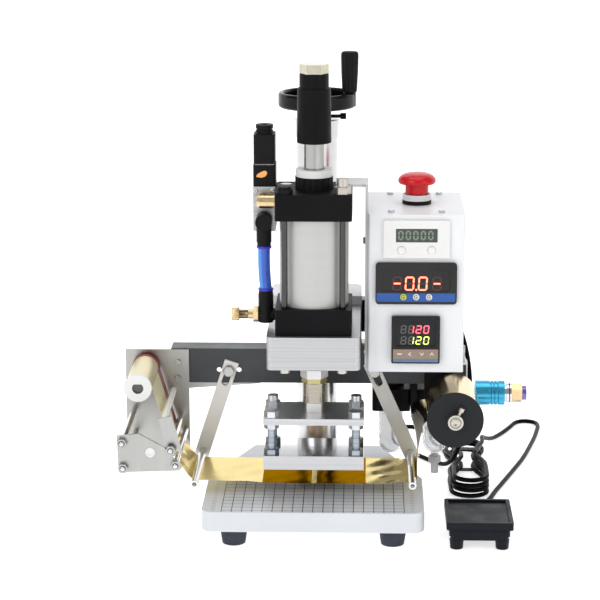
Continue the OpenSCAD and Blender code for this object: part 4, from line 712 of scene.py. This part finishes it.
def ram_fastener(x, y, z):
    """Which finish a fastener of the ram has: top nut, lock nut, its washer, studs, and the rest."""
    if z > TOP_NUT_LOW:
        return 4
    if z > RAM_NUT_LOW:
        return 1 if z > LOCK_NUT_LOW else 2
    return 3 if STUD_LOW < z < STUD_HIGH else 0


def coupler_flat(x, y, z):
    """Whether a face is one of the coupler's two spanner flats."""
    return z < FLAT_TOP and abs(y - RAM_Y) > FLAT_AWAY and abs(x) < FLAT_HALF


def plate_side(x, y, z):
    """Whether a face lies on the rim of a plate."""
    return abs(y - RAM_Y) > RIM_AWAY or abs(x) > RIM_SIDE


print("finishes told apart by place:", recessed.__name__, head_fastener.__name__, ram_fastener.__name__)

# %% Base, column and pedal
PEDAL_LEFT = 120
dress("base_plate", silver_paint, edge=1.0)
dress("rubber_feet", rubber, pedal_grey, edge=0.8, pick=lambda x, y, z: x > PEDAL_LEFT)
dress("column", satin, edge=0.5)
dress("pedal_base", pedal_grey, edge=0.8)
dress("treadle", pedal_grey, edge=0.8)
tie = dress("cord_tie", cord_skin, edge=0.2)
dress("handwheel", gloss_black, edge=0.6)
dress("leadscrew", turned)
dress("lock_screw", matte_black, edge=0.3)
print("dressed nodes:", dressed_count())

# %% Head and cylinder
BUMPER_LOW, GASKET_LOW, GASKET_HIGH = 362.6, 370.6, 371.6
BOX_LEFT, AIR_LEFT, AIR_TOP = 20, 40, 200
dress("head_block", milled, edge=0.7)
dress("column_clamp", white_paint, edge=1.0)
dress("lift_nut", brass)
dress("cylinder_caps", black_anodised, edge=0.8)
dress("barrel", honed, edge=0.2)
dress("head_fasteners", turned, nut_zinc, tie_rod, bolt, edge=0.3, pick=head_fastener)
dress("adjuster_boss", matte_black, white_plastic, edge=0.3, pick=lambda x, y, z: z > BUMPER_LOW)
dress("valve_body", milled, edge=0.4)
dress("valve_coil", matte_black, white_plastic, edge=0.6, pick=lambda x, y, z: GASKET_LOW < z < GASKET_HIGH)
dress("brass_fittings", brass, edge=0.3)
dress("plastic_fittings", matte_black, edge=0.4)
dress("cross_bar", dark_paint, edge=0.6)
dress(
    "head_brackets", zinc_sheet, matte_black, grey_paint, edge=0.3,
    pick=lambda x, y, z: 1 if x > AIR_LEFT and z < AIR_TOP else 2 if x > BOX_LEFT else 0,
)
print("dressed nodes:", dressed_count())

# %% Control box
COUNTER_FACE, NEAR = -37.2, 0.1
RING_LOW, RING_HIGH, SKIRT_LOW = 328.1, 334.1, 334
dress("control_box", white_paint, edge=0.6)
dress("counter", white_plastic, lcd_glass, edge=0.5, pick=lambda x, y, z: abs(y - COUNTER_FACE) < NEAR)
dress("timer", timer_face, edge=0.6)
dress("temp_controller", controller_face, edge=0.5)
for key in ("counter_key_left", "counter_key_right", "timer_key_mid", "timer_key_right"):
    dress(key, white_plastic, edge=0.3)
dress("timer_key_left", yellow_plastic, edge=0.3)
dress("estop_base", matte_black, white_plastic, edge=0.4, pick=lambda x, y, z: RING_LOW < z < RING_HIGH)
dress("estop_stem", matte_black, red_plastic, edge=0.3, pick=lambda x, y, z: z > SKIRT_LOW)
dress("estop_head", red_plastic, edge=0.4)
print("dressed nodes:", dressed_count())

# %% Foil frame, reels, air unit and ram
STRUT_LEFT, REEL_LEFT = -127, 105
ARM_RIGHT, ARM_LOW = -125, 110
DRAIN_LEFT, DRAIN_TOP = 119, 44.3
HEX_LEFT, NOSE_LEFT = 205.1, 216.1
dress(
    "foil_plates", zinc_sheet, matte_black, strut_zinc, edge=0.25,
    pick=lambda x, y, z: 1 if x > REEL_LEFT else 2 if x > STRUT_LEFT else 0,
)
dress("foil_rods", chrome, strut_zinc, edge=0.3, pick=lambda x, y, z: x < ARM_RIGHT and z > ARM_LOW)
# The supply hub's D-shaped hole is painted dark, as shade in the hole
dress("supply_spindle", white_plastic, painted_hollow_shade, edge=0.4, pick=recessed)
dress("foil_roll", roll_gold, edge=0.2)
dress("reel_motor", matte_black, edge=0.5)
dress("reel_spindle", turned, edge=0.3)
dress("reel_disc", disc_black, edge=0.5)
dress("reel_foil", takeup_gold, edge=0.2)
dress("air_bodies", matte_black, edge=0.8)
dress("air_bowls", clear, drain_grey, edge=0.3, pick=lambda x, y, z: x > DRAIN_LEFT and z < DRAIN_TOP)
dress(
    "slide_valve", fitting, brass, violet_anodised, edge=0.3,
    pick=lambda x, y, z: 2 if x > NOSE_LEFT else 1 if x > HEX_LEFT else 0,
)
dress("valve_sleeve", blue_anodised, edge=0.3)
dress("piston_rod", rod_chrome, edge=0.3)
dress("adjuster_sleeve", black_anodised, edge=0.8)
dress("ram_fasteners", bolt, lock_nut, yellow_zinc, thread, nickel, edge=0.4, pick=ram_fastener)
dress("coupler", coupler_nickel, lock_nut, edge=0.4, pick=coupler_flat)
for plate, top in (("upper_plate", half_polished), ("heater_plate", polished)):
    dress(plate, top, plate_edge, edge=0.4, pick=plate_side)
print("dressed nodes:", dressed_count())

# %% [markdown]
# ## Fluted grips and knobs
# The crank's grip, the regulator's knob and the needle's knob are turned pieces with flutes that fade out
# towards smooth bands. Cutters could carve the flutes, but rings whose radius dips at each flute are simpler
# and stay closed. Each piece keeps the bore that the CAD gives it, so it still fits its pin or post.

# %% Grips and knobs
FRONT, BACK, LEFT, UP = (0, -1, 0), (0, 1, 0), (-1, 0, 0), (0, 0, 1)
AIR_Y = 80
GRIP_FOOT, KNOB_FOOT, NEEDLE_FOOT = at(33.48, 84.1, 428.7), at(78.5, AIR_Y, 119.6), at(-55.5, RAM_Y, 223)


def dressed(piece, node, *finishes, stands=True):
    """Give a new piece its finishes, and the body of a CAD node that it stands for or belongs to."""
    for material in finishes:
        piece.data.materials.append(material)
    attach(piece, NODE_BODY[node])
    if stands:
        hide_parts(node)


GRIP = [
    (38.5, 4.05, 0), (0, 4.05, 0), (0, 6.9, 0), (0.8, 7.3, 0.3), (2, 7.6, 1), (11, 8.1, 1), (20.75, 8.6, 1),
    (37.5, 9, 1), (39.8, 8.75, 1), (40.9, 8.2, 0.6), (41.5, 7.3, 0),
]
grip = turned_piece("crank_grip", GRIP_FOOT, UP, GRIP, sides=96, flutes=12, depth=0.9)
dressed(grip, "crank_grip", matte_black)
KNOB = [
    (27.5, 6.05, 0), (0, 6.05, 0), (0, 13.2, 0), (0.8, 14, 0), (4, 13.9, 0), (5, 13.87, 1), (25, 13.35, 1),
    (28, 13.25, 0.5), (29.3, 13, 0), (30, 12, 0),
]
knob = turned_piece("regulator_knob", KNOB_FOOT, UP, KNOB, sides=120, flutes=20, depth=0.9)
dressed(knob, "regulator_knob", matte_black)
NEEDLE = [
    (-3, 3, 0), (10.3, 3, 0), (10.3, 4.2, 0), (10.6, 4.5, 0), (18.7, 4.5, 0), (19, 6.1, 0), (19.5, 6.6, 1),
    (26, 6.6, 1), (26.5, 6.1, 0),
]
needle = turned_piece("needle_knob", NEEDLE_FOOT, LEFT, NEEDLE, sides=120, flutes=24, depth=0.7)
dressed(needle, "needle_knob", brass)
print("fluted faces:", [len(piece.data.polygons) for piece in (grip, knob, needle)])

# %% [markdown]
# ## Gold foil
# The foil leaves the supply roll, passes the rollers and the left guide rod, runs level under the heater
# plate and climbs to the take-up from the right guide rod. It is a thin film, so it sags a little in front
# and ripples. A cloth simulation could find such ripples, but waves in a formula give the same film each run.

# %% Rows across the foil
FOIL_Z, FOIL_FRONT, FOIL_BACK, FOIL_T = 53.55, -47.0, 30.0, 0.2
FOIL_W = FOIL_BACK - FOIL_FRONT
STRIPS = 28
COLUMNS = [FOIL_FRONT + FOIL_W / STRIPS * i for i in range(STRIPS + 1)]
HALF_SPAN, SAG = 105, 2.2
CALM_HALF, CALM_FADE = 46, 14


def foil_height(x, y):
    """Height of the level run: a sag in the middle of the front edge, and ripples that end at the rods."""
    free = max(0.0, 1 - (x / HALF_SPAN) ** 2)
    front = (FOIL_BACK - y) / FOIL_W
    loose = min(1.0, max(0.0, (abs(x) - CALM_HALF) / CALM_FADE))
    side = 1.5 if x > 0 else 0.7
    wave = 0.5 * math.sin(0.12 * y + 0.07 * x) + 0.4 * math.sin(0.23 * y - 0.16 * x + 1.3)
    return FOIL_Z - SAG * free * front**2 + wave * min(1.0, 2 * free) * (0.25 + 0.75 * loose * side)


def level_rows(low, high, count):
    """Rows across the foil on its level run from one X to another."""
    stops = [low + (high - low) * i / count for i in range(count + 1)]
    return [[at(x, y, foil_height(x, y)) for y in COLUMNS] for x in stops]


def slanted_rows(points, steps, ripple):
    """Rows across the foil on the way along points in X and Z, rippled between its two ends."""
    path = smooth_path([Vector((x, 0, z)) for x, z in points], steps)
    rows = []
    for i, p in enumerate(path):
        free = math.sin(math.pi * i / (len(path) - 1))
        rows.append([
            at(p.x + ripple * free * math.sin(0.17 * y + 0.05 * p.z) * (1 + 0.4 * math.sin(0.4 * y)), y, p.z)
            for y in COLUMNS
        ])
    return rows


def slack_rows(front, back, steps):
    """Rows across the slack film at the take-up, from a path at its front edge to one at its back edge."""
    near = smooth_path([Vector((x, 0, z)) for x, z in front], steps)
    far = smooth_path([Vector((x, 0, z)) for x, z in back], steps)
    shares = [(y - FOIL_FRONT) / FOIL_W for y in COLUMNS]
    rows = []
    for a, b in zip(near, far):
        points = [a.lerp(b, t * t * (3 - 2 * t)) for t in shares]
        rows.append([at(p.x, y, p.z) for p, y in zip(points, COLUMNS)])
    return rows


ROD_LEFT, ROD_RIGHT, PRESSED = -113, 94, 52
STEPS = 6
DOWN = [
    (-161.4, 150.3), (-153, 122.5), (-145.6, 97.7), (-141.1, 80), (-131, 64), (-123.9, 55.6), (-118.5, 53.7),
]
UP_FRONT = [(98.6, 53.7), (103.2, 56), (103.4, 72), (104.5, 90), (107.2, 105), (109.6, 114), (113.9, 118)]
UP_BACK = [(98.6, 53.7), (104, 57), (105.4, 74), (102, 90), (98, 102.5), (101.8, 114.5), (113.9, 118)]
left_rows = slanted_rows(DOWN, STEPS, 0.55) + level_rows(ROD_LEFT, -PRESSED, 24)
middle_rows = level_rows(-PRESSED, PRESSED, 40)
right_rows = level_rows(PRESSED, ROD_RIGHT, 18) + slack_rows(UP_FRONT, UP_BACK, STEPS)
print("foil rows:", len(left_rows), len(middle_rows), len(right_rows))

# %% Foil web


def foil_band(name, rows, paints, choose):
    """A thin closed film through rows of points. choose(x, y, z) in drawing millimetres gives a finish."""
    bm = bmesh.new()
    grid = [[bm.verts.new(p) for p in row] for row in rows]
    for low, high in zip(grid, grid[1:]):
        for j in range(len(low) - 1):
            face = bm.faces.new((low[j], low[j + 1], high[j + 1], high[j]))
            c = face.calc_center_median() / MM
            face.material_index = choose(c.x + ORIGIN_X, c.y + ORIGIN_Y, c.z)
    bmesh.ops.recalc_face_normals(bm, faces=bm.faces)
    bmesh.ops.solidify(bm, geom=bm.faces[:], thickness=FOIL_T * MM)
    film = add_object(name, bm)
    film.data.set_sharp_from_angle(angle=math.radians(50))
    for paint in paints:
        film.data.materials.append(paint)
    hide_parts("foil_web")
    return film


def row_length(rows):
    """Length of the film along its middle."""
    middle = [row[len(row) // 2] for row in rows]
    return sum((b - a).length for a, b in zip(middle, middle[1:]))


SLACK_LOW, EDGE_FRONT = 90, 12
STREAK, AWAY_LOW, AWAY_HIGH = 3, 88, 117.5


def left_paint(x, y, z):
    """Flat gold, and above the rollers slack gold whose back edge shows the film's coloured side."""
    if z < SLACK_LOW:
        return 0
    return 1 if y > EDGE_FRONT else 2


# Under the plate the film lies in shade, apart from a bright streak in its middle. Near the take-up it is
# turned away from the light.
web_left = foil_band("foil_web_left", left_rows, (gold, foil_edge, pale_gold), left_paint)
web_middle = foil_band("foil_web_middle", middle_rows, (gold, deep_gold), lambda x, y, z: abs(x) >= STREAK)
web_right = foil_band(
    "foil_web_right", right_rows, (gold, dark_gold), lambda x, y, z: AWAY_LOW < z < AWAY_HIGH
)
print("foil lengths:", [round(row_length(rows), 3) for rows in (left_rows, middle_rows, right_rows)])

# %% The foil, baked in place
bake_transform(web_left)
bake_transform(web_middle)
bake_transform(web_right)

# %% [markdown]
# ## Displays
# The three displays are seven-segment ones. A picture of digits would do for one view, but each segment here
# is a flat prism just in front of its window, lit or unlit. So a digit is only a list of the segments that
# glow, and it stays sharp from near by.

# %% Seven-segment digits
SEGMENTS = {"0": "abcdef", "1": "bc", "2": "abged", "-": "g", " ": ""}
PRINT_FRONT, PRINT_BACK = 0.15, 0.02


def segment_outlines(width, height, stroke):
    """The seven segments of one digit, as outlines in X and Z from its lower left corner."""
    half, gap = stroke / 2, stroke * 0.12
    middle = height / 2

    def level(z):
        """A lying segment with pointed ends."""
        left, right = half + gap, width - half - gap
        return [
            (left, z), (left + half, z + half), (right - half, z + half),
            (right, z), (right - half, z - half), (left + half, z - half),
        ]

    def upright(x, low, high):
        """A standing segment with pointed ends."""
        low, high = low + gap, high - gap
        return [
            (x, low), (x + half, low + half), (x + half, high - half),
            (x, high), (x - half, high - half), (x - half, low + half),
        ]

    return {
        "a": level(height - half), "g": level(middle), "d": level(half),
        "f": upright(half, middle, height - half), "b": upright(width - half, middle, height - half),
        "e": upright(half, half, middle), "c": upright(width - half, half, middle),
    }


def show(name, node, face, digits, lit, unlit, stroke, lean=0.0):
    """Digits in front of a window whose face lies at Y = face: (character, x, z, width, height) for each."""
    bm = bmesh.new()
    for character, x, z, width, height in digits:
        for label, outline in segment_outlines(width, height, stroke).items():
            on = label in SEGMENTS[character]
            if on or unlit:
                points = [(x + u + lean * v, z + v) for u, v in outline]
                add_prism(bm, points, face - PRINT_FRONT, face - PRINT_BACK, 0 if on else 1)
    skins = [lit, unlit] if unlit else [lit]
    dressed(add_object(name, bm, smooth=False), node, *skins, stands=False)
    print(name, "shows", "".join(row[0] for row in digits))


TIMER_FACE, HEAT_FACE = -38.4, -39.8
COUNTER_LEFT, COUNTER_PITCH = 82.6, 7.35
COUNTER_CELLS = [("0", COUNTER_LEFT + COUNTER_PITCH * i, 299.2, 5.2, 9.4) for i in range(5)]
show("counter_digits", "counter", COUNTER_FACE, COUNTER_CELLS, lcd_ink, None, 1.5)
TIMER_ROW = [("-", 77), ("0", 89.3), ("0", 102.3), ("-", 116.2)]
TIMER_CELLS = [(c, x, 248.6, 9.3, 14.2) for c, x in TIMER_ROW]
show("timer_digits", "timer", TIMER_FACE, TIMER_CELLS, lit_orange, unlit_red, 1.6, 0.05)
HEAT_ROW = [(" ", 85.4), ("1", 92.9), ("2", 100.4), ("0", 107.9)]
for label, z, lit in (("upper", 205.2, lit_red), ("lower", 194.0, lit_green)):
    cells = [(c, x, z, 5.6, 8.4) for c, x in HEAT_ROW]
    show(f"temperature_{label}", "temp_controller", HEAT_FACE, cells, lit, unlit_grey, 1.05, 0.12)

# %% [markdown]
# ## Printed marks
# The timer's point, the signs on the controller's keys and the hooked signs on the timer's keys are light or
# ink on the real panels. Masks in a material could print them too, but a thin prism keeps a clean edge on so
# small a sign.

# %% Marks on the panels
KEY_TIP = [(1.9, 0), (-1.1, 2.0), (-1.6, 1.4), (0.7, 0), (-1.6, -1.4), (-1.1, -2.0)]
POINT = arc(100.9, 249.4, 0.95, steps=12)
KEY_DASH = [(82.6, 184), (87.4, 184), (87.4, 185.1), (82.6, 185.1)]
TIP_Z, SIGN_Z = 184.5, 242.3
POINT_FRONT, POINT_BACK = TIMER_FACE - PRINT_FRONT, TIMER_FACE - PRINT_BACK
TIP_FRONT, TIP_BACK, SIGN_FRONT, SIGN_BACK = -41.15, -41.02, -40.65, -40.45


def flat_piece(name, node, skin, outlines, front, back):
    """A piece made of flat prisms, one for each outline, that belongs to a CAD node."""
    bm = bmesh.new()
    for outline in outlines:
        add_prism(bm, outline, front, back)
    piece = add_object(name, bm, smooth=False)
    dressed(piece, node, skin, stands=False)
    return piece


def key_tip(x, degrees):
    """The arrow head of one controller key, turned to point its way."""
    c, s = math.cos(math.radians(degrees)), math.sin(math.radians(degrees))
    return [(x + u * c - v * s, TIP_Z + u * s + v * c) for u, v in KEY_TIP]


flat_piece("timer_point", "timer", lit_orange, [POINT], POINT_FRONT, POINT_BACK)
key_signs = [key_tip(x, degrees) for x, degrees in ((95, 180), (107, 270), (117, 90))] + [KEY_DASH]
flat_piece("controller_key_marks", "temp_controller", pale_ink, key_signs, TIP_FRONT, TIP_BACK)
for node, x in (("timer_key_left", 88.15), ("timer_key_mid", 100.8), ("timer_key_right", 113.45)):
    hook = arc(x, SIGN_Z, 2.1, 40, 320, 20) + arc(x, SIGN_Z, 1.5, 320, 40, 20)
    bar = [(x - 0.3, 241.9), (x + 1.6, 241.9), (x + 1.6, 242.7), (x - 0.3, 242.7)]
    flat_piece(f"{node}_mark", node, dark_ink, [hook, bar], SIGN_FRONT, SIGN_BACK)
print("signs on the controller's keys:", len(key_signs))

# %% [markdown]
# ## Small pieces
# An orange lamp on the valve's coil, screws in the valve's body and the control box, the ends of studs in
# their nuts, a collar on the take-up, a fluted drain nut, a white disc in a hole of the front plate, the
# cover of the motor's terminals, and the hose with its release rings. The dark rings at the stud ends and in
# the collar are painted shade. Most are too small to need a solid of their own, so they are turned or cut as
# prisms and ride with the node that they belong to. The hose stands for its own solid, in two blues: the
# lighter blue on its left side is painted light.

# %% Lamp and screws
LAMP = [
    (-57.4, 359.0), (-56.6, 361.4), (-52.6, 364.0), (-49.2, 365.3), (-47.0, 364.6), (-46.4, 362.2),
    (-48.4, 359.4), (-52.5, 358.2),
]
VALVE_SCREW = [(0, 2.3, 0), (0.7, 2.3, 0), (1.3, 1.6, 0), (1.3, 0.8, 0), (0.6, 0.7, 0)]
SIDE_SCREW = [(0, 5.2, 0), (1.2, 5.2, 0), (1.4, 3.6, 0), (4.6, 3.6, 0), (5.4, 2.8, 0)]


def turned_detail(name, node, skin, foot, axis, profile, sides, **flutes):
    """A small turned piece that belongs to a CAD node."""
    piece = turned_piece(name, foot, axis, profile, sides, **flutes)
    dressed(piece, node, skin, stands=False)


lamp = flat_piece("coil_lamp", "valve_coil", lamp_orange, [LAMP], -22.6, -21.9)
lamp.modifiers.new("edge", "BEVEL").width = 0.3 * MM
for x in (-41.1, -57.9):
    turned_detail("valve_screw", "valve_body", bolt, at(x, -24, 345.5), FRONT, VALVE_SCREW, 24)
turned_detail("box_side_screw", "control_box", nut_zinc, at(53.3, 20, 287), LEFT, SIDE_SCREW, 32)
print("lamp points:", len(LAMP))

# %% Reels, drain nut and hole disc
ROLL_EDGE = [(0, 12.5, 0), (0, 13.95, 0), (6, 13.95, 0), (6, 12.5, 0)]
COLLAR_GROOVE_SHADE = [(-0.2, 5.0, 0), (0.12, 5.0, 0), (0.12, 5.7, 0), (-0.2, 5.7, 0)]
COLLAR_END = [(-0.2, 4.2, 0), (0.6, 4.2, 0), (0.9, 3.8, 0), (0.9, 2.6, 0), (0.5, 2.2, 0)]
COLLAR_AT = at(140.7, -63, 120)
DRAIN_NUT = [(0, 4.05, 0), (0, 6.2, 0), (0.6, 6.6, 1), (6.4, 6.6, 1), (7, 6, 0), (7, 4.05, 0)]
HOLE_DISC = [(0, 5.15, 0), (2.3, 5.15, 0), (2.6, 4.8, 0), (2.6, 3.6, 0), (2.2, 3.2, 0)]
# The roll's far end shows the film's coloured side
turned_detail("foil_roll_edge", "foil_roll", foil_edge, at(HUB_X, 24.2, HUB_Z), BACK, ROLL_EDGE, 64)
# A thin dark ring in the collar is painted shade in its groove
turned_detail("collar_groove_shade", "reel_spindle", painted_hollow_shade, COLLAR_AT, FRONT, COLLAR_GROOVE_SHADE, 48)
turned_detail("collar_end", "reel_spindle", turned, COLLAR_AT, FRONT, COLLAR_END, 48)
turned_detail(
    "drain_nut", "air_bowls", drain_grey, at(125.2, AIR_Y, 34.5), UP, DRAIN_NUT, 96, flutes=12, depth=1.2
)
# A white disc fills a hole in the front plate
turned_detail("plate_hole_disc", "foil_plates", white_plastic, at(-160.6, -83.6, 94.3), FRONT, HOLE_DISC, 48)
print("collar at", [round(v, 3) for v in COLLAR_AT])

# %% Stud ends
STUD_FRONT = -91
STUD_ENDS = [(-188.1, 104.5), (-187.5, 79), (-140.1, 97.7), (-135.4, 82.2)]
THREAD_GAP_SHADE = [(-0.2, 2.4, 0), (0.1, 2.4, 0), (0.1, 3.1, 0), (-0.2, 3.1, 0)]
STUD_TIP = [(-0.2, 2.4, 0), (1.0, 2.4, 0), (1.5, 1.9, 0), (1.5, 0.8, 0)]
# Each end of a stud is a bright chamfered tip, with a dark ring of painted shade in the thread gap round it
for number, (x, z) in enumerate(STUD_ENDS):
    for label, skin, profile in (("gap", painted_hollow_shade, THREAD_GAP_SHADE), ("tip", bolt, STUD_TIP)):
        name = f"tie_rod_end_{number}_{label}"
        turned_detail(name, "head_fasteners", skin, at(x, STUD_FRONT, z), FRONT, profile, 32)
print("stud ends:", len(STUD_ENDS))

# %% Motor terminals
BLOCK = [(140, 135.8), (155.2, 135.8), (155.2, 152), (140, 152)]
STRIP = [(140, 152), (155.2, 152), (155.2, 135.8), (156.6, 135.8), (156.6, 153.6), (140, 153.6)]
MOTOR_PLUG = [(0, 2.6, 0), (7, 2.6, 0), (7.2, 2.2, 0), (9, 2.2, 0), (9.2, 2.6, 0), (17, 2.6, 0)]
# A dark block under a bent strip, with a plug on top
flat_piece("motor_terminals", "reel_motor", dark_paint, [BLOCK], 41, 55)
flat_piece("motor_cover_strip", "reel_motor", strut_zinc, [STRIP], 40, 56)
turned_detail("motor_plug", "reel_motor", drain_grey, at(151.6, 48, 153.5), UP, MOTOR_PLUG, 24)
print("strip points:", len(STRIP))

# %% Air hose
HOSE = [(-49.5, 291.7), (-49.6, 284), (-49.5, 272), (-48.9, 260), (-48.2, 252), (-48, 248.3)]
HOSE_R, HOSE_SIDES, HOSE_STEPS = 6, 32, 6
LIT_SIDE = -0.45
RING = [(0, 6.2, 0), (0, 7.2, 0), (0.5, 7.5, 0), (2, 7.5, 0), (2.5, 7.2, 0), (2.5, 6.2, 0)]
hose_path = smooth_path([at(x, RAM_Y, z) for x, z in HOSE], HOSE_STEPS)
hose = tube("air_hose", hose_path, HOSE_R * MM, HOSE_SIDES)
# Faces that turn to the left, towards the key light, take the lighter blue: painted light.
for face in hose.data.polygons:
    face.material_index = 1 if face.normal.x < LIT_SIDE else 0
dressed(hose, "air_hose", blue_hose, painted_lit_hose)
for label, x, z in (("upper", -49.5, 290.2), ("lower", -48, 247.4)):
    turned_detail(f"hose_ring_{label}", "air_hose", release_ring, at(x, RAM_Y, z), UP, RING, 40)
print("hose points:", len(hose_path))

# %% [markdown]
# ## Floor and light
# A wide pale floor runs up into a backdrop far behind the machine, so no horizon shows and a camera that
# looks from behind still stands in front of it. Large soft lights above and at both sides give the even light
# of a catalogue photograph, with enough contrast for the metals. A bright world alone would leave them flat.

# %% Stage
FLOOR, WALL_Y, WALL_ROUND, WALL_TOP = 40.0, 7.0, 1.5, 9.0
FLOOR_DROP, FLOOR_GLOW = 0.0003, 0.64
ARC = [math.pi / 2 * i / 24 for i in range(25)]
SWEEP = [(WALL_Y + WALL_ROUND * (math.sin(a) - 1), WALL_ROUND * (1 - math.cos(a))) for a in ARC]
PROFILE = [(-FLOOR, 0), *SWEEP, (WALL_Y, WALL_TOP)]
bm = bmesh.new()
rows = [[bm.verts.new((x, y, z - FLOOR_DROP)) for x in (-FLOOR, FLOOR)] for y, z in PROFILE]
for a, b in zip(rows, rows[1:]):
    bm.faces.new((a[0], a[1], b[1], b[0]))
floor = add_object("floor", bm)
pale = finish("pale_floor", (0.95, 0.95, 0.95), (0.7, 0.8), tone=0.01, specular=0.2)
pale_shader = pale.node_tree.nodes["Principled BSDF"]
pale_shader.inputs["Emission Color"].default_value = (1, 1, 1, 1)
pale_shader.inputs["Emission Strength"].default_value = FLOOR_GLOW
floor.data.materials.append(pale)
print("floor faces:", len(floor.data.polygons))

# %% Lights
SKY = 0.34


def soft_light(name, place, aim, size, watts):
    """A large rectangular light that looks from place to aim."""
    light = bpy.data.lights.new(name, "AREA")
    light.shape = "RECTANGLE"
    light.size, light.size_y = size
    light.energy = watts
    obj = bpy.data.objects.new(name, light)
    obj.location = place
    obj.rotation_euler = (Vector(aim) - Vector(place)).to_track_quat("-Z", "Y").to_euler()
    bpy.context.scene.collection.objects.link(obj)


soft_light("key", (-1.3, -1.9, 1.5), (0, 0, 0.2), (1.4, 1.6), 24)
soft_light("fill", (1.6, -1.5, 1.0), (0, 0, 0.2), (1.0, 1.6), 10)
soft_light("top", (0, 0.1, 2.0), (0, 0, 0), (1.6, 1.4), 14)
world = bpy.data.worlds.new("studio")
world.use_nodes = True
world.node_tree.nodes["Background"].inputs["Color"].default_value = (1, 1, 1, 1)
world.node_tree.nodes["Background"].inputs["Strength"].default_value = SKY
bpy.context.scene.world = world
print("lights:", len(bpy.data.lights))
